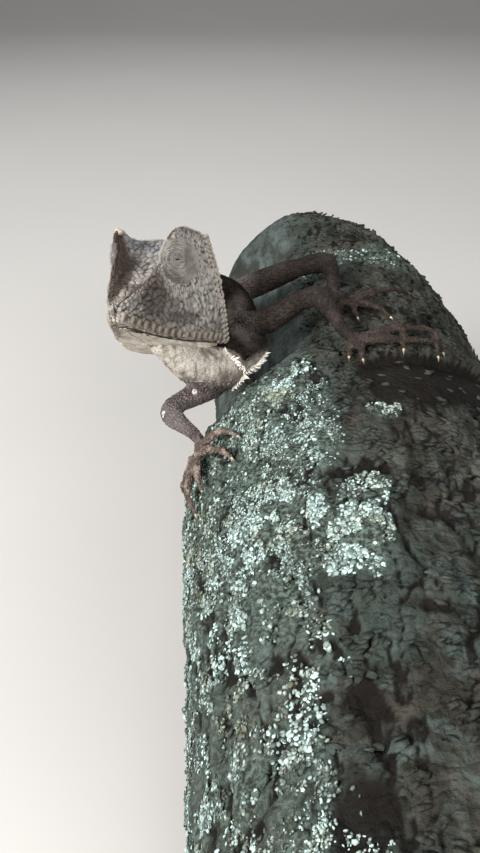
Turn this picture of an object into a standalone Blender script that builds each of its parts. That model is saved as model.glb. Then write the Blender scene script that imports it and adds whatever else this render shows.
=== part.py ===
"""A young casque-headed lizard standing up on a cut length of branch, on a plain display stand.

Sizes are in millimetres here and become metres when a mesh is made.
The working frame has the branch's axis along Y, +Z up, and the lizard facing -Y.
Head shapes are worked out in head lengths: x forward from the snout tip (so all of the head is
at negative x), y to the animal's left, z up from the line of the mouth.
"""
import math

import bmesh
import bpy
import numpy as np

MM = 0.001
GAP = 0.3

# Head: length from snout to ear, where the snout tip is, and how it is turned.
HEAD_LENGTH = 25.0
HEAD_ORIGIN = (-42.3, -11.3, 36.5)
HEAD_YAW = 17.5
HEAD_PITCH = 24.0
HEAD_ROLL = 9.0
EYE_CENTRE = (-0.52, 0.130, 0.445)
EYE_RADII = (4.3, 4.1, 3.9)
EYE_WALL_Y = 0.175
EYE_WALL_LEAN = 11.0
LID_SLIT = (1.7, 1.0, 0.28)

# Head stations: distance back from the snout, then half widths and heights there.
# Columns: back, lip y, lip z, cheek y, cheek z, brow rim y, brow rim z, forehead foot y, forehead z.
HEAD_STATIONS = (
    (0.01, 0.050, 0.060, 0.055, 0.12, 0.055, 0.180, 0.028, 0.180),
    (0.06, 0.078, 0.045, 0.084, 0.13, 0.088, 0.215, 0.040, 0.205),
    (0.14, 0.105, 0.018, 0.112, 0.15, 0.114, 0.262, 0.052, 0.235),
    (0.24, 0.140, -0.010, 0.145, 0.17, 0.150, 0.335, 0.070, 0.270),
    (0.36, 0.184, -0.038, 0.178, 0.19, 0.190, 0.450, 0.095, 0.308),
    (0.48, 0.234, -0.060, 0.215, 0.21, 0.226, 0.620, 0.125, 0.362),
    (0.60, 0.286, -0.078, 0.256, 0.23, 0.246, 0.665, 0.145, 0.455),
    (0.74, 0.338, -0.092, 0.304, 0.23, 0.258, 0.660, 0.160, 0.565),
    (0.86, 0.372, -0.102, 0.340, 0.23, 0.272, 0.645, 0.175, 0.608),
    (0.94, 0.384, -0.106, 0.355, 0.23, 0.284, 0.618, 0.185, 0.598),
)
# Back of the head: distance back and size of the outline there, over the rim to the nape.
HEAD_BACK = ((0.99, 1.04), (1.025, 1.05), (1.04, 0.98), (1.02, 0.80), (1.00, 0.55), (0.99, 0.30))
HEAD_BACK_CENTRE = 0.28
CASQUE_LEAN = 0.15

# Lower jaw: distance back, half width, bottom height.
JAW_STATIONS = (
    (0.12, 0.030, 0.008),
    (0.20, 0.058, -0.008),
    (0.32, 0.105, -0.042),
    (0.45, 0.165, -0.090),
    (0.60, 0.230, -0.145),
    (0.75, 0.290, -0.185),
    (0.88, 0.325, -0.200),
    (0.95, 0.330, -0.185),
)
MOUTH_GAP = 0.017

# Throat, from under the chin to the chest: place, half width, half height.
THROAT_LINE = (
    ((-38.0, -1.4, 29.4), 2.2, 1.6),
    ((-35.0, 0.2, 26.8), 3.2, 3.0),
    ((-31.2, 2.2, 23.0), 4.2, 4.0),
    ((-26.8, 5.4, 20.6), 5.4, 4.4),
    ((-24.0, 10.2, 21.2), 6.2, 4.8),
    ((-24.4, 16.0, 22.0), 5.6, 4.6),
)

# Small raised forms in millimetres: half sizes along, across and out.
LABIAL_COUNT = 11
LABIAL_SIZE = (0.92, 0.75, 0.5)
RIM_SCUTE_PITCH = 1.9
RIM_SCUTE_SIZE = (0.8, 0.72, 0.7)
BROW_SCUTE_COUNT = 6
BROW_SCUTE_SIZE = (0.75, 0.5, 0.55)
SCUTE_REACH = 1.1
NOSTRIL_PLACE = (-0.085, 0.098, 0.150)
NOSTRIL_SIZE = (0.45, 0.3, 0.5)
EAR_PLACE = (-0.985, 0.40, 0.0)
EAR_SIZE = (0.75, 1.2, 0.5)
# Pale pointed scales along the folds at the side of the throat, and the middle they point away from.
FOLDS = (
    ((-24.6, 2.0, 18.6), (-23.3, 1.9, 20.0), (-22.1, 2.7, 21.4), (-20.2, 4.7, 21.7), (-18.7, 7.9, 22.4)),
    ((-26.3, 3.6, 25.2), (-25.1, 2.7, 24.5), (-23.7, 2.2, 23.3), (-22.6, 2.4, 22.0)),
)
FOLD_MIDDLE = (-25.5, 8.0, 21.2)
FOLD_PITCH = 1.45
FOLD_SIZE = (0.62, 1.0)
CREST_ROWS = (0.35, 6.9)
CREST_COUNT = 24
CREST_HEIGHT = 1.1

# Branch.
BRANCH_RADIUS = 29.0
BRANCH_NEAR = -90.0
BRANCH_FAR = 86.0
FAR_ROUNDING = 22.0
FAR_SLANT = 36.0
FAR_SLANT_ANGLE = 12.0
NEAR_ROUNDING = 6.0
SWELLING_HEIGHT = 4.6
SWELLING_ANGLE = 150.0
SWELLING_EDGE = -10.0
HOLLOW_DEPTH = 5.0
HOLLOW_ANGLE = 136.0
BARK_RELIEF = 0.33

# Stand.
BASE_LENGTH = 150.0
BASE_WIDTH = 60.0
BASE_THICKNESS = 8.0
BASE_CORNER = 9.0
BASE_CHAMFER = 1.2
BASE_TOP = -52.0
ROD_RADIUS = 3.0
ROD_COLLAR = 5.0
# Radius and height over the base, from the collar's foot up into the branch, where the rod is cut.
ROD_PROFILE = (
    (ROD_COLLAR, GAP),
    (ROD_COLLAR, 1.4),
    (ROD_COLLAR - 0.8, 2.2),
    (ROD_RADIUS, 2.8),
    (ROD_RADIUS, 30.0),
)
ROD_PLACES = {"stand_rod_front": -48.0, "stand_rod_back": 44.0}

# Line of the neck, trunk and tail: place, half width, half height, and where the back faces.
BODY_LINE = (
    ((-36.6, 9.4, 32.8), 4.6, 6.0, (0.12, 0.39, 0.91)),
    ((-33.0, 13.2, 30.4), 4.6, 6.2, (0.0, 0.40, 0.91)),
    ((-29.0, 16.2, 27.8), 5.0, 6.5, (-0.20, 0.40, 0.90)),
    ((-26.2, 19.6, 25.2), 5.4, 6.8, (-0.45, 0.30, 0.84)),
    ((-26.0, 24.6, 23.0), 5.2, 6.9, (-0.62, 0.12, 0.77)),
    ((-28.2, 31.0, 20.4), 5.1, 6.7, (-0.68, 0.05, 0.73)),
    ((-30.2, 37.0, 17.8), 4.5, 5.7, (-0.70, 0.0, 0.71)),
    ((-31.4, 43.5, 15.6), 3.2, 4.2, (-0.70, 0.0, 0.71)),
    ((-32.2, 52.0, 13.4), 2.3, 2.9, (-0.65, 0.0, 0.76)),
    ((-33.2, 70.0, 9.6), 1.8, 2.2, (-0.5, 0.0, 0.87)),
    ((-34.6, 95.0, 4.2), 1.45, 1.7, (-0.3, 0.0, 0.95)),
    ((-38.5, 125.0, -4.6), 1.1, 1.3, (0.0, 0.0, 1.0)),
    ((-45.0, 153.0, -17.0), 0.8, 0.9, (0.0, 0.0, 1.0)),
    ((-53.0, 178.0, -31.0), 0.45, 0.5, (0.0, 0.0, 1.0)),
)
# Where the body is parted, in rows of the table above.
NECK_ROWS = (0.0, 2.7)
TORSO_ROWS = (2.7, 7.0)
TAIL_ROWS = (7.0, 8.6, 10.0, 11.4, 13.0)

# Limbs: the places of root, joint, joint and hand, then the radii there.
ARM_RADII = (2.3, 2.3, 1.9, 1.1, 1.25)
LEG_RADII = (2.8, 2.8, 1.9, 1.1, 1.3)
LIMBS = {
    "arm_left": (
        (
            (-25.5, 16.5, 24.6), (-19.5, 10.6, 27.1), (-10.3, 6.9, 33.9),
            (-5.5, -2.6, 31.4), (-3.0, -3.4, 31.2),
        ),
        ARM_RADII,
    ),
    "arm_right": (
        (
            (-25.6, 12.0, 20.6), (-27.2, 4.4, 18.6), (-35.3, -5.2, 18.2),
            (-30.2, -14.2, 18.4), (-29.9, -17.6, 17.6),
        ),
        ARM_RADII,
    ),
    "leg_left": (
        (
            (-28.4, 37.0, 18.4), (-26.0, 36.0, 20.6), (-7.2, 27.0, 31.9),
            (-5.8, 13.8, 31.2), (-4.2, 12.0, 31.2),
        ),
        LEG_RADII,
    ),
    "leg_right": (
        (
            (-30.8, 37.0, 16.4), (-33.0, 36.0, 14.6), (-41.0, 30.0, 18.6),
            (-31.8, 41.0, 4.0), (-31.2, 43.6, 1.4),
        ),
        LEG_RADII,
    ),
}
LIMB_NAMES = {
    "arm_left": ("upper_arm_left", "forearm_left", "hand_left"),
    "arm_right": ("upper_arm_right", "forearm_right", "hand_right"),
    "leg_left": ("thigh_left", "shank_left", "foot_left"),
    "leg_right": ("thigh_right", "shank_right", "foot_right"),
}

# Digits as places on the bark: angle round the branch (90 is the top), place along it, height over it.
DIGITS = {
    "arm_left": (
        ((97, -3.4, 1.6), (100, -4.8, 1.2), (101, -7.0, 0.7)),
        ((96, -3.4, 1.6), (97, -5.8, 1.3), (97, -8.2, 0.7)),
        ((95, -3.2, 1.7), (89, -1.8, 2.3), (84, -0.8, 3.0), (83.5, -3.2, 1.7), (83.5, -5.0, 0.7)),
        (
            (95, -2.8, 1.7), (86, -1.2, 2.3), (78, 0.2, 2.6),
            (72, 0.6, 2.9), (71, -1.8, 1.5), (70.5, -3.4, 0.7),
        ),
        ((95, -3.6, 1.7), (86, -3.4, 1.6), (77, -1.8, 1.6), (70, -0.6, 2.0), (67, -0.6, 0.7)),
    ),
    "arm_right": (
        ((150, -18.2, 1.8), (155, -19.6, 1.4), (160, -18.6, 1.2), (163, -17.6, 0.7)),
        ((150, -18.8, 1.8), (151, -22.5, 2.0), (152.5, -25.6, 1.8), (151.5, -28.6, 1.2), (151, -30.6, 0.7)),
        ((149, -18.8, 1.8), (148, -21.6, 2.0), (148.5, -24.2, 1.5), (148.5, -26.6, 0.7)),
        ((148, -18.4, 1.8), (144, -19.8, 1.8), (140.5, -21.6, 1.3), (138, -24.2, 0.7)),
        ((148, -17.6, 1.8), (144, -17.0, 1.9), (139.5, -17.2, 1.6), (136, -19.6, 0.7)),
    ),
    "leg_left": (
        ((98, 12.0, 1.7), (102, 10.6, 1.4), (104, 8.4, 0.7)),
        ((97, 11.6, 1.7), (96, 9.2, 1.6), (95, 6.2, 0.7)),
        ((96, 11.6, 1.7), (91, 9.0, 1.8), (87, 8.0, 1.4), (84, 6.2, 0.7)),
        ((96, 12.2, 1.7), (90, 12.8, 2.2), (82, 15.5, 2.2), (77, 17.6, 1.6), (72.5, 19.8, 0.7)),
        ((97, 12.8, 1.7), (92, 15.0, 1.6), (90, 18.6, 0.7)),
    ),
    "leg_right": (
        ((178, 43.4, 1.8), (183, 42.0, 1.5), (188, 40.4, 0.7)),
        ((179, 44.0, 1.8), (186, 44.6, 1.6), (192, 43.6, 0.7)),
        ((179, 44.4, 1.8), (186, 47.0, 1.9), (192, 48.8, 1.4), (197, 49.6, 0.7)),
        ((178, 44.6, 1.8), (183, 49.4, 2.2), (188, 54.6, 2.0), (192, 59.0, 1.4), (196, 62.0, 0.7)),
        ((177, 44.4, 1.8), (175, 48.4, 1.6), (172, 52.4, 0.7)),
    ),
}
DIGIT_RADII = (0.95, 0.32)

COLOURS = {
    "head": (0.30, 0.25, 0.21),
    "pale": (0.58, 0.53, 0.45),
    "neck": (0.12, 0.085, 0.07),
    "trunk": (0.15, 0.11, 0.09),
    "limb": (0.20, 0.165, 0.16),
    "eye": (0.33, 0.29, 0.25),
    "bark": (0.16, 0.17, 0.15),
    "stand": (0.045, 0.045, 0.05),
}


def clear_scene():
    """Remove every object the scene holds."""
    for old in list(bpy.data.objects):
        bpy.data.objects.remove(old, do_unlink=True)


def make_material(name, roughness):
    """A Principled material in one of the named colours."""
    material = bpy.data.materials.new(name)
    material.use_nodes = True
    shader = material.node_tree.nodes["Principled BSDF"]
    shader.inputs["Base Color"].default_value = (*COLOURS[name], 1.0)
    shader.inputs["Roughness"].default_value = roughness
    shader.inputs["Metallic"].default_value = 0.0
    return material


def unit(vectors):
    """Vectors scaled to length one along the last axis."""
    vectors = np.asarray(vectors, float)
    return vectors / np.linalg.norm(vectors, axis=-1, keepdims=True)


def smooth_curve(knots, values, at):
    """A smooth curve through values at knots, read at given places (cubic pieces with shared slopes)."""
    knots = np.asarray(knots, float)
    values = np.asarray(values, float)
    flat = values.reshape(len(knots), -1)
    slopes = np.empty_like(flat)
    slopes[1:-1] = (flat[2:] - flat[:-2]) / (knots[2:] - knots[:-2])[:, None]
    slopes[0] = (flat[1] - flat[0]) / (knots[1] - knots[0])
    slopes[-1] = (flat[-1] - flat[-2]) / (knots[-1] - knots[-2])
    at = np.clip(np.asarray(at, float), knots[0], knots[-1])
    i = np.clip(np.searchsorted(knots, at, side="right") - 1, 0, len(knots) - 2)
    width = (knots[i + 1] - knots[i])[:, None]
    t = (at - knots[i])[:, None] / width
    start = (2 * t**3 - 3 * t**2 + 1) * flat[i] + (t**3 - 2 * t**2 + t) * width * slopes[i]
    end = (3 * t**2 - 2 * t**3) * flat[i + 1] + (t**3 - t**2) * width * slopes[i + 1]
    return (start + end).reshape((len(at),) + values.shape[1:])


def ease(x):
    """Zero below 0, one above 1, and a smooth step between."""
    x = np.clip(x, 0.0, 1.0)
    return x * x * (3 - 2 * x)


def hill(distance, width):
    """A smooth hill of height one that falls off over a width."""
    return np.exp(-((distance / width) ** 2))


def tidy(piece, merge=0.01):
    """Merge doubled points, drop faces without area, leave only triangles and turn them outwards.

    Returns the number of edges that don't have just two faces.
    """
    work = bmesh.new()
    work.from_mesh(piece.data)
    bmesh.ops.remove_doubles(work, verts=work.verts, dist=merge * MM)
    bmesh.ops.dissolve_degenerate(work, dist=merge * 0.5 * MM, edges=work.edges)
    bmesh.ops.triangulate(work, faces=work.faces)
    bmesh.ops.recalc_face_normals(work, faces=work.faces)
    if work.calc_volume(signed=True) < 0:
        bmesh.ops.reverse_faces(work, faces=work.faces)
    open_edges = sum(1 for edge in work.edges if len(edge.link_faces) != 2)
    work.to_mesh(piece.data)
    work.free()
    return open_edges


def mesh_object(name, points, faces, material):
    """A mesh object from points in millimetres, its faces turned outwards."""
    mesh = bpy.data.meshes.new(name)
    mesh.from_pydata((np.asarray(points, float) * MM).tolist(), [], faces)
    piece = bpy.data.objects.new(name, mesh)
    bpy.context.scene.collection.objects.link(piece)
    mesh.materials.append(material)
    tidy(piece)
    return piece


def ring_solid(name, rings, material):
    """A closed surface through an array of rings, closed by a fan at each end."""
    count, sides = rings.shape[:2]
    points = np.vstack([rings.reshape(-1, 3), [rings[0].mean(0), rings[-1].mean(0)]])
    faces = []
    for s in range(sides):
        n = (s + 1) % sides
        for r in range(count - 1):
            faces.append((r * sides + s, r * sides + n, (r + 1) * sides + n, (r + 1) * sides + s))
        faces.append((count * sides, n, s))
        faces.append((count * sides + 1, (count - 1) * sides + s, (count - 1) * sides + n))
    return mesh_object(name, points, faces, material)


def oval_rings(places, widths, heights, backs, sides, along=None):
    """Oval rings square to a line of places, their upper side towards the given back directions."""
    if along is None:
        along = unit(np.gradient(places, axis=0))
    across = unit(np.cross(backs, along))
    up = np.cross(along, across)
    angle = np.linspace(0, 2 * math.pi, sides, endpoint=False)
    cosine = (np.cos(angle)[None, :] * widths[:, None])[..., None]
    sine = (np.sin(angle)[None, :] * heights[:, None])[..., None]
    return places[:, None] + across[:, None] * cosine + up[:, None] * sine


def body_at(rows):
    """Place, half width, half height and back direction of the body at rows of its table."""
    table = np.array([[*place, width, height, *back] for place, width, height, back in BODY_LINE])
    read = smooth_curve(np.arange(len(table)), table, rows)
    return read[:, 0:3], read[:, 3], read[:, 4], unit(read[:, 5:8])


def body_rings(first, last, count, sides):
    """Rings of the neck, trunk or tail between two rows of the body's table."""
    rows = np.linspace(first, last, count)
    places, widths, heights, backs = body_at(rows)
    along = unit(body_at(rows + 0.02)[0] - body_at(rows - 0.02)[0])
    return oval_rings(places, widths, heights, backs, sides, along)


def row_step(row):
    """How many rows of the body's table make one gap's length at a row."""
    near, far = body_at([max(row - 0.05, 0.0), row + 0.05])[0]
    return GAP * 0.1 / np.linalg.norm(far - near)


def along_line(joints, radii, at):
    """Places and radii at lengths along a smooth line through joints."""
    joints = np.array(joints, float)
    knots = np.concatenate([[0.0], np.cumsum(np.linalg.norm(np.diff(joints, axis=0), axis=1))])
    read = smooth_curve(knots, np.column_stack([joints, radii]), at)
    return read[:, :3], read[:, 3], knots


def head_frame():
    """Forward, left and up directions of the head."""
    yaw = math.radians(HEAD_YAW)
    pitch = math.radians(HEAD_PITCH)
    roll = math.radians(HEAD_ROLL)
    turned = np.array([-math.sin(yaw), -math.cos(yaw), 0.0])
    forward = turned * math.cos(pitch) + np.array([0.0, 0.0, math.sin(pitch)])
    level = np.array([math.cos(yaw), -math.sin(yaw), 0.0])
    left = level * math.cos(roll) + np.cross(forward, level) * math.sin(roll)
    return forward, left, np.cross(forward, left)


def head_to_world(points):
    """Points in head lengths moved to the head's place."""
    return np.array(HEAD_ORIGIN) + HEAD_LENGTH * (np.asarray(points, float) @ np.array(head_frame()))


def head_section(row, count):
    """Left half of the head's outline at a station, from the palate's middle to the forehead's."""
    back, lip_y, lip_z, cheek_y, cheek_z, rim_y, rim_z, foot_y, foot_z = row
    corners = np.array([
        (0.0, lip_z + 0.005),
        (lip_y * 0.6, lip_z + 0.003),
        (lip_y * 0.97, lip_z),
        (lip_y, lip_z + 0.035),
        (cheek_y, cheek_z),
        (cheek_y * 0.4 + rim_y * 0.6 - 0.012, rim_z * 0.75),
        (rim_y, rim_z - 0.035),
        (rim_y - 0.008, rim_z),
        (rim_y - 0.035, rim_z - 0.012),
        (foot_y, foot_z + (rim_z - foot_z) * 0.15),
        (0.0, foot_z),
    ])
    knots = np.array([0, 1.2, 2.0, 2.4, 3.8, 5.4, 6.4, 6.8, 7.2, 8.4, 9.6])
    half = smooth_curve(knots, corners, np.linspace(0, knots[-1], count))
    return np.column_stack([np.full(count, -back), half])


def whole_ring(half):
    """A closed ring from its left half, mirrored to the right."""
    return np.vstack([half, half[-2:0:-1] * np.array([1, -1, 1])])


def casque_lean(ring):
    """The top of the casque's back edge moved forward over the nape."""
    leaned = ring.copy()
    leaned[:, 0] += CASQUE_LEAN * ease((ring[:, 2] - 0.42) / 0.22) * ease((-ring[:, 0] - 0.80) / 0.2)
    return leaned


def head_rings(stations, half_count):
    """Rings of the head from the snout tip over the rim at its back edge to the nape."""
    table = np.array(HEAD_STATIONS)
    rows = smooth_curve(table[:, 0], table, np.linspace(table[0, 0], table[-1, 0], stations))
    rings = [whole_ring(head_section(row, half_count)) for row in rows]
    tip = rings[0].copy()
    tip[:, 0] = 0.015
    tip[:, 1:] = (tip[:, 1:] - [0.0, 0.11]) * 0.62 + [0.0, 0.11]
    last = rings[-1]
    rear = []
    for back, size in HEAD_BACK:
        ring = last.copy()
        ring[:, 1:] = (last[:, 1:] - [0.0, HEAD_BACK_CENTRE]) * size + [0.0, HEAD_BACK_CENTRE]
        ring[:, 0] = -back
        rear.append(ring)
    return head_to_world(np.array([casque_lean(ring) for ring in [tip] + rings + rear]))


def jaw_rings(sides):
    """Rings of the lower jaw, flat on top under the line of the mouth."""
    head = np.array(HEAD_STATIONS)
    rings = []
    for back, half_width, bottom in JAW_STATIONS:
        lip = smooth_curve(head[:, 0], head[:, 2:3], [back])[0, 0]
        top = lip - MOUTH_GAP
        angle = np.linspace(0, math.pi, sides)
        low = np.column_stack([np.full(sides, -back), half_width * np.cos(angle),
                               top - 0.012 + (bottom - top + 0.012) * np.sin(angle) ** 0.7])
        lid = np.array([(-back, -half_width * 0.8, top), (-back, 0.0, top), (-back, half_width * 0.8, top)])
        rings.append(np.vstack([low, lid]))
    return head_to_world(np.array(rings))


def branch_radius(angle, along):
    """Radius of the branch at an angle in degrees (90 is the top) and a place along it.

    A round log with a swelling on its upper left flank, a hollow behind that, slow bark ridges
    and ends that round off.
    """
    edge = SWELLING_EDGE + (SWELLING_ANGLE - angle) * 0.18
    swelling = hill(angle - SWELLING_ANGLE, 34.0)
    swelling = swelling * ease((edge + 8.0 - along) / 9.0) * ease((along + 78.0) / 45.0)
    hollow = hill(angle - HOLLOW_ANGLE, 24.0)
    hollow = hollow * ease((along - edge - 6.0) / 10.0) * ease((66.0 - along) / 18.0)
    turn = np.radians(angle)
    ridges = np.sin(5 * turn + along * 0.045) + 0.7 * np.sin(9 * turn - along * 0.06 + 1.0)
    ridges = ridges + 0.6 * np.sin(3 * turn + along * 0.13 + 2.0)
    radius = BRANCH_RADIUS + SWELLING_HEIGHT * swelling - HOLLOW_DEPTH * hollow + BARK_RELIEF * ridges
    slant = ease((np.cos(turn - math.radians(FAR_SLANT_ANGLE)) + 0.25) / 1.25)
    rounding = FAR_ROUNDING + FAR_SLANT * slant
    far = np.clip((along - (BRANCH_FAR - rounding)) / rounding, 0, 1)
    near = np.clip(((BRANCH_NEAR + NEAR_ROUNDING) - along) / NEAR_ROUNDING, 0, 1)
    return radius * np.sqrt(1 - (0.9 * far) ** (2.8 - 1.3 * slant)) * (1 - 0.12 * near**2)


def on_branch(angle, along, height):
    """A point at a height over the bark."""
    reach = branch_radius(np.float64(angle), np.float64(along)) + height
    turn = math.radians(angle)
    return np.array([reach * math.cos(turn), along, reach * math.sin(turn)])


def branch_rings(count, sides):
    """Rings of the branch along its axis."""
    share = np.linspace(0, 1, count)
    along = BRANCH_NEAR + (BRANCH_FAR - BRANCH_NEAR) * share
    angle = np.linspace(0, 360, sides, endpoint=False)
    grid_angle, grid_along = np.meshgrid(angle, along)
    radius = branch_radius(grid_angle, grid_along)
    turn = np.radians(grid_angle)
    return np.stack([radius * np.cos(turn), grid_along, radius * np.sin(turn)], axis=-1)


def sphere(name, centre, radii, rows, sides, axes, material):
    """A closed ball with its own radii along three axes."""
    rings = []
    for k in range(1, rows):
        down = math.pi * k / rows
        around = np.linspace(0, 2 * math.pi, sides, endpoint=False)
        local = np.column_stack([
            np.sin(down) * np.cos(around),
            np.sin(down) * np.sin(around),
            np.full(sides, np.cos(down)),
        ])
        rings.append(centre + (local * radii) @ np.array(axes))
    return ring_solid(name, np.array(rings), material)


def shell(piece, distance=GAP):
    """A mesh larger all round than a piece, by the gap unless told otherwise, to cut its neighbours with."""
    mesh = piece.data.copy()
    work = bmesh.new()
    work.from_mesh(mesh)
    work.normal_update()
    for corner in work.verts:
        corner.co += corner.normal * distance * MM
    work.to_mesh(mesh)
    work.free()
    return mesh


def solved(piece, group, operation, solver):
    """The mesh that a Boolean with a group of pieces gives."""
    modifier = piece.modifiers.new("Boolean", "BOOLEAN")
    modifier.operation = operation
    modifier.solver = solver
    modifier.operand_type = "COLLECTION"
    modifier.collection = group
    bpy.context.view_layer.update()
    graph = bpy.context.evaluated_depsgraph_get()
    mesh = bpy.data.meshes.new_from_object(piece.evaluated_get(graph))
    piece.modifiers.clear()
    return mesh


def boolean(piece, others, operation):
    """Join other closed pieces to one, or take them away from it, and keep its largest body.

    The exact solver comes first; where its result isn't closed the manifold solver takes over.
    """
    group = bpy.data.collections.new(piece.name + "_others")
    bpy.context.scene.collection.children.link(group)
    for other in others:
        group.objects.link(other)
    start = piece.data
    for solver, merge in (("EXACT", 0.01), ("MANIFOLD", 0.01), ("EXACT", 0.001), ("MANIFOLD", 0.001)):
        piece.data = start
        piece.data = solved(piece, group, operation, solver)
        if tidy(piece, merge) == 0:
            break
    for other in others:
        bpy.data.objects.remove(other, do_unlink=True)
    bpy.data.collections.remove(group)
    keep_largest(piece)


def keep_largest(piece):
    """Keep only the largest closed surface of a mesh."""
    work = bmesh.new()
    work.from_mesh(piece.data)
    groups = []
    seen = set()
    for face in work.faces:
        if face in seen:
            continue
        seen.add(face)
        stack = [face]
        group = []
        while stack:
            current = stack.pop()
            group.append(current)
            for edge in current.edges:
                for other in edge.link_faces:
                    if other not in seen:
                        seen.add(other)
                        stack.append(other)
        groups.append(group)
    if len(groups) > 1:
        spans = [sum(f.calc_area() for f in group) for group in groups]
        best = spans.index(max(spans))
        loose = [f for k, group in enumerate(groups) if k != best for f in group]
        bmesh.ops.delete(work, geom=loose, context="FACES")
    work.to_mesh(piece.data)
    work.free()


def cut_clear(piece, shells):
    """Cut a piece back to the gap from its neighbours, one shell after the other."""
    for k, mesh in enumerate(shells):
        cutter = bpy.data.objects.new(f"{piece.name}_cutter_{k}", mesh)
        bpy.context.scene.collection.objects.link(cutter)
        boolean(piece, [cutter], "DIFFERENCE")


def shade_round(piece, degrees=50):
    """Smooth shading that keeps sharp corners."""
    piece.data.shade_smooth()
    piece.data.set_sharp_from_angle(angle=math.radians(degrees))


def make_branch(material):
    """The cut length of branch the lizard grips."""
    return ring_solid("branch", branch_rings(32, 42), material)


def make_stand(branch_shell, material):
    """A flat base with chamfered edges and two rods up to the branch."""
    corners = []
    for turn in np.linspace(0, 2 * math.pi, 32, endpoint=False) + math.pi / 32:
        x = math.copysign(BASE_WIDTH / 2 - BASE_CORNER, math.cos(turn)) + BASE_CORNER * math.cos(turn)
        y = math.copysign(BASE_LENGTH / 2 - BASE_CORNER, math.sin(turn)) + BASE_CORNER * math.sin(turn)
        corners.append((x, y))
    corners = np.array(corners)
    inner = corners * (1 - np.array([2 * BASE_CHAMFER / BASE_WIDTH, 2 * BASE_CHAMFER / BASE_LENGTH]))
    bottom = BASE_TOP - BASE_THICKNESS
    levels = ((corners, bottom), (corners, BASE_TOP - BASE_CHAMFER), (inner, BASE_TOP))
    rings = np.array([np.column_stack([outline, np.full(len(outline), z)]) for outline, z in levels])
    pieces = [ring_solid("stand_base", rings, material)]
    around = np.linspace(0, 2 * math.pi, 20, endpoint=False)
    circle = np.column_stack([np.cos(around), np.sin(around), np.zeros(20)])
    for name, along in ROD_PLACES.items():
        rings = np.array([circle * radius + [0.0, along, BASE_TOP + z] for radius, z in ROD_PROFILE])
        rod = ring_solid(name, rings, material)
        cut_clear(rod, [branch_shell])
        pieces.append(rod)
    return pieces


def knob(name, centre, sizes, axes, material):
    """A small low ball, for a scute."""
    return sphere(name, centre, sizes, 3, 6, axes, material)


def axes_along(direction, outward):
    """Directions along a row, across it and outward."""
    direction = unit(direction)
    across = unit(np.cross(outward, direction))
    return direction, across, np.cross(direction, across)


def head_scutes(material):
    """Raised scutes: the lip shields, the brow's knobs and the beads of the rim behind the cheek."""
    forward, left, up = head_frame()
    table = np.array(HEAD_STATIONS)
    made = []
    for side in (1, -1):
        mirror = np.array([1, side, 1])
        backs = np.linspace(0.07, 0.93, LABIAL_COUNT)
        rows = smooth_curve(table[:, 0], table, backs)
        lips = head_to_world(np.column_stack([-backs, rows[:, 1], rows[:, 2] + 0.038]) * mirror)
        runs = np.gradient(lips, axis=0)
        for k, place in enumerate(lips):
            axes = axes_along(runs[k], left * side)
            made.append(knob(f"lip_{side}_{k}", place, LABIAL_SIZE, axes, material))
        backs = np.linspace(0.44, 0.90, BROW_SCUTE_COUNT)
        rows = smooth_curve(table[:, 0], table, backs)
        brows = head_to_world(np.column_stack([-backs, rows[:, 5] - 0.006, rows[:, 6]]) * mirror)
        runs = np.gradient(brows, axis=0)
        for k, place in enumerate(brows):
            axes = axes_along(runs[k], up + left * side * 0.5)
            made.append(knob(f"brow_{side}_{k}", place, BROW_SCUTE_SIZE, axes, material))
        back, size = HEAD_BACK[1]
        outline = head_section(table[-1], 60)[14:58]
        outline[:, 1:] = (outline[:, 1:] - [0.0, HEAD_BACK_CENTRE]) * size + [0.0, HEAD_BACK_CENTRE]
        outline[:, 0] = -back
        outline = head_to_world(casque_lean(outline) * mirror)
        steps = np.concatenate([[0.0], np.cumsum(np.linalg.norm(np.diff(outline, axis=0), axis=1))])
        at = np.arange(0.4, steps[-1], RIM_SCUTE_PITCH)
        rim = smooth_curve(steps, outline, at)
        runs = smooth_curve(steps, outline, at + 0.2) - smooth_curve(steps, outline, at - 0.2)
        middle = head_to_world((-0.9, 0.0, HEAD_BACK_CENTRE))
        for k, place in enumerate(rim):
            axes = axes_along(runs[k], unit(place - middle) - forward * 0.3)
            made.append(knob(f"rim_{side}_{k}", place, RIM_SCUTE_SIZE, axes, material))
    return made


def make_head(material):
    """Skull, snout, brow rims, dished forehead and casque in one piece, with scutes and small hollows.

    Also gives the plain head's shell, and a wider one that clears the scutes.
    """
    forward, left, up = head_frame()
    head = ring_solid("head", head_rings(18, 18), material)
    head_shell = shell(head)
    wide_shell = shell(head, SCUTE_REACH)
    boolean(head, head_scutes(material), "UNION")
    hollows = []
    for side in (1, -1):
        mirror = np.array([1, side, 1])
        axes = (forward, left * side, up)
        hollows.append(sphere(f"nostril_{side}", head_to_world(np.array(NOSTRIL_PLACE) * mirror),
                              (NOSTRIL_SIZE[0], NOSTRIL_SIZE[2], NOSTRIL_SIZE[1]), 5, 8, axes, material))
        hollows.append(sphere(f"ear_{side}", head_to_world(np.array(EAR_PLACE) * mirror),
                              (EAR_SIZE[0], EAR_SIZE[2], EAR_SIZE[1]), 5, 8, axes, material))
    boolean(head, hollows, "DIFFERENCE")
    return head, head_shell, wide_shell


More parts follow.
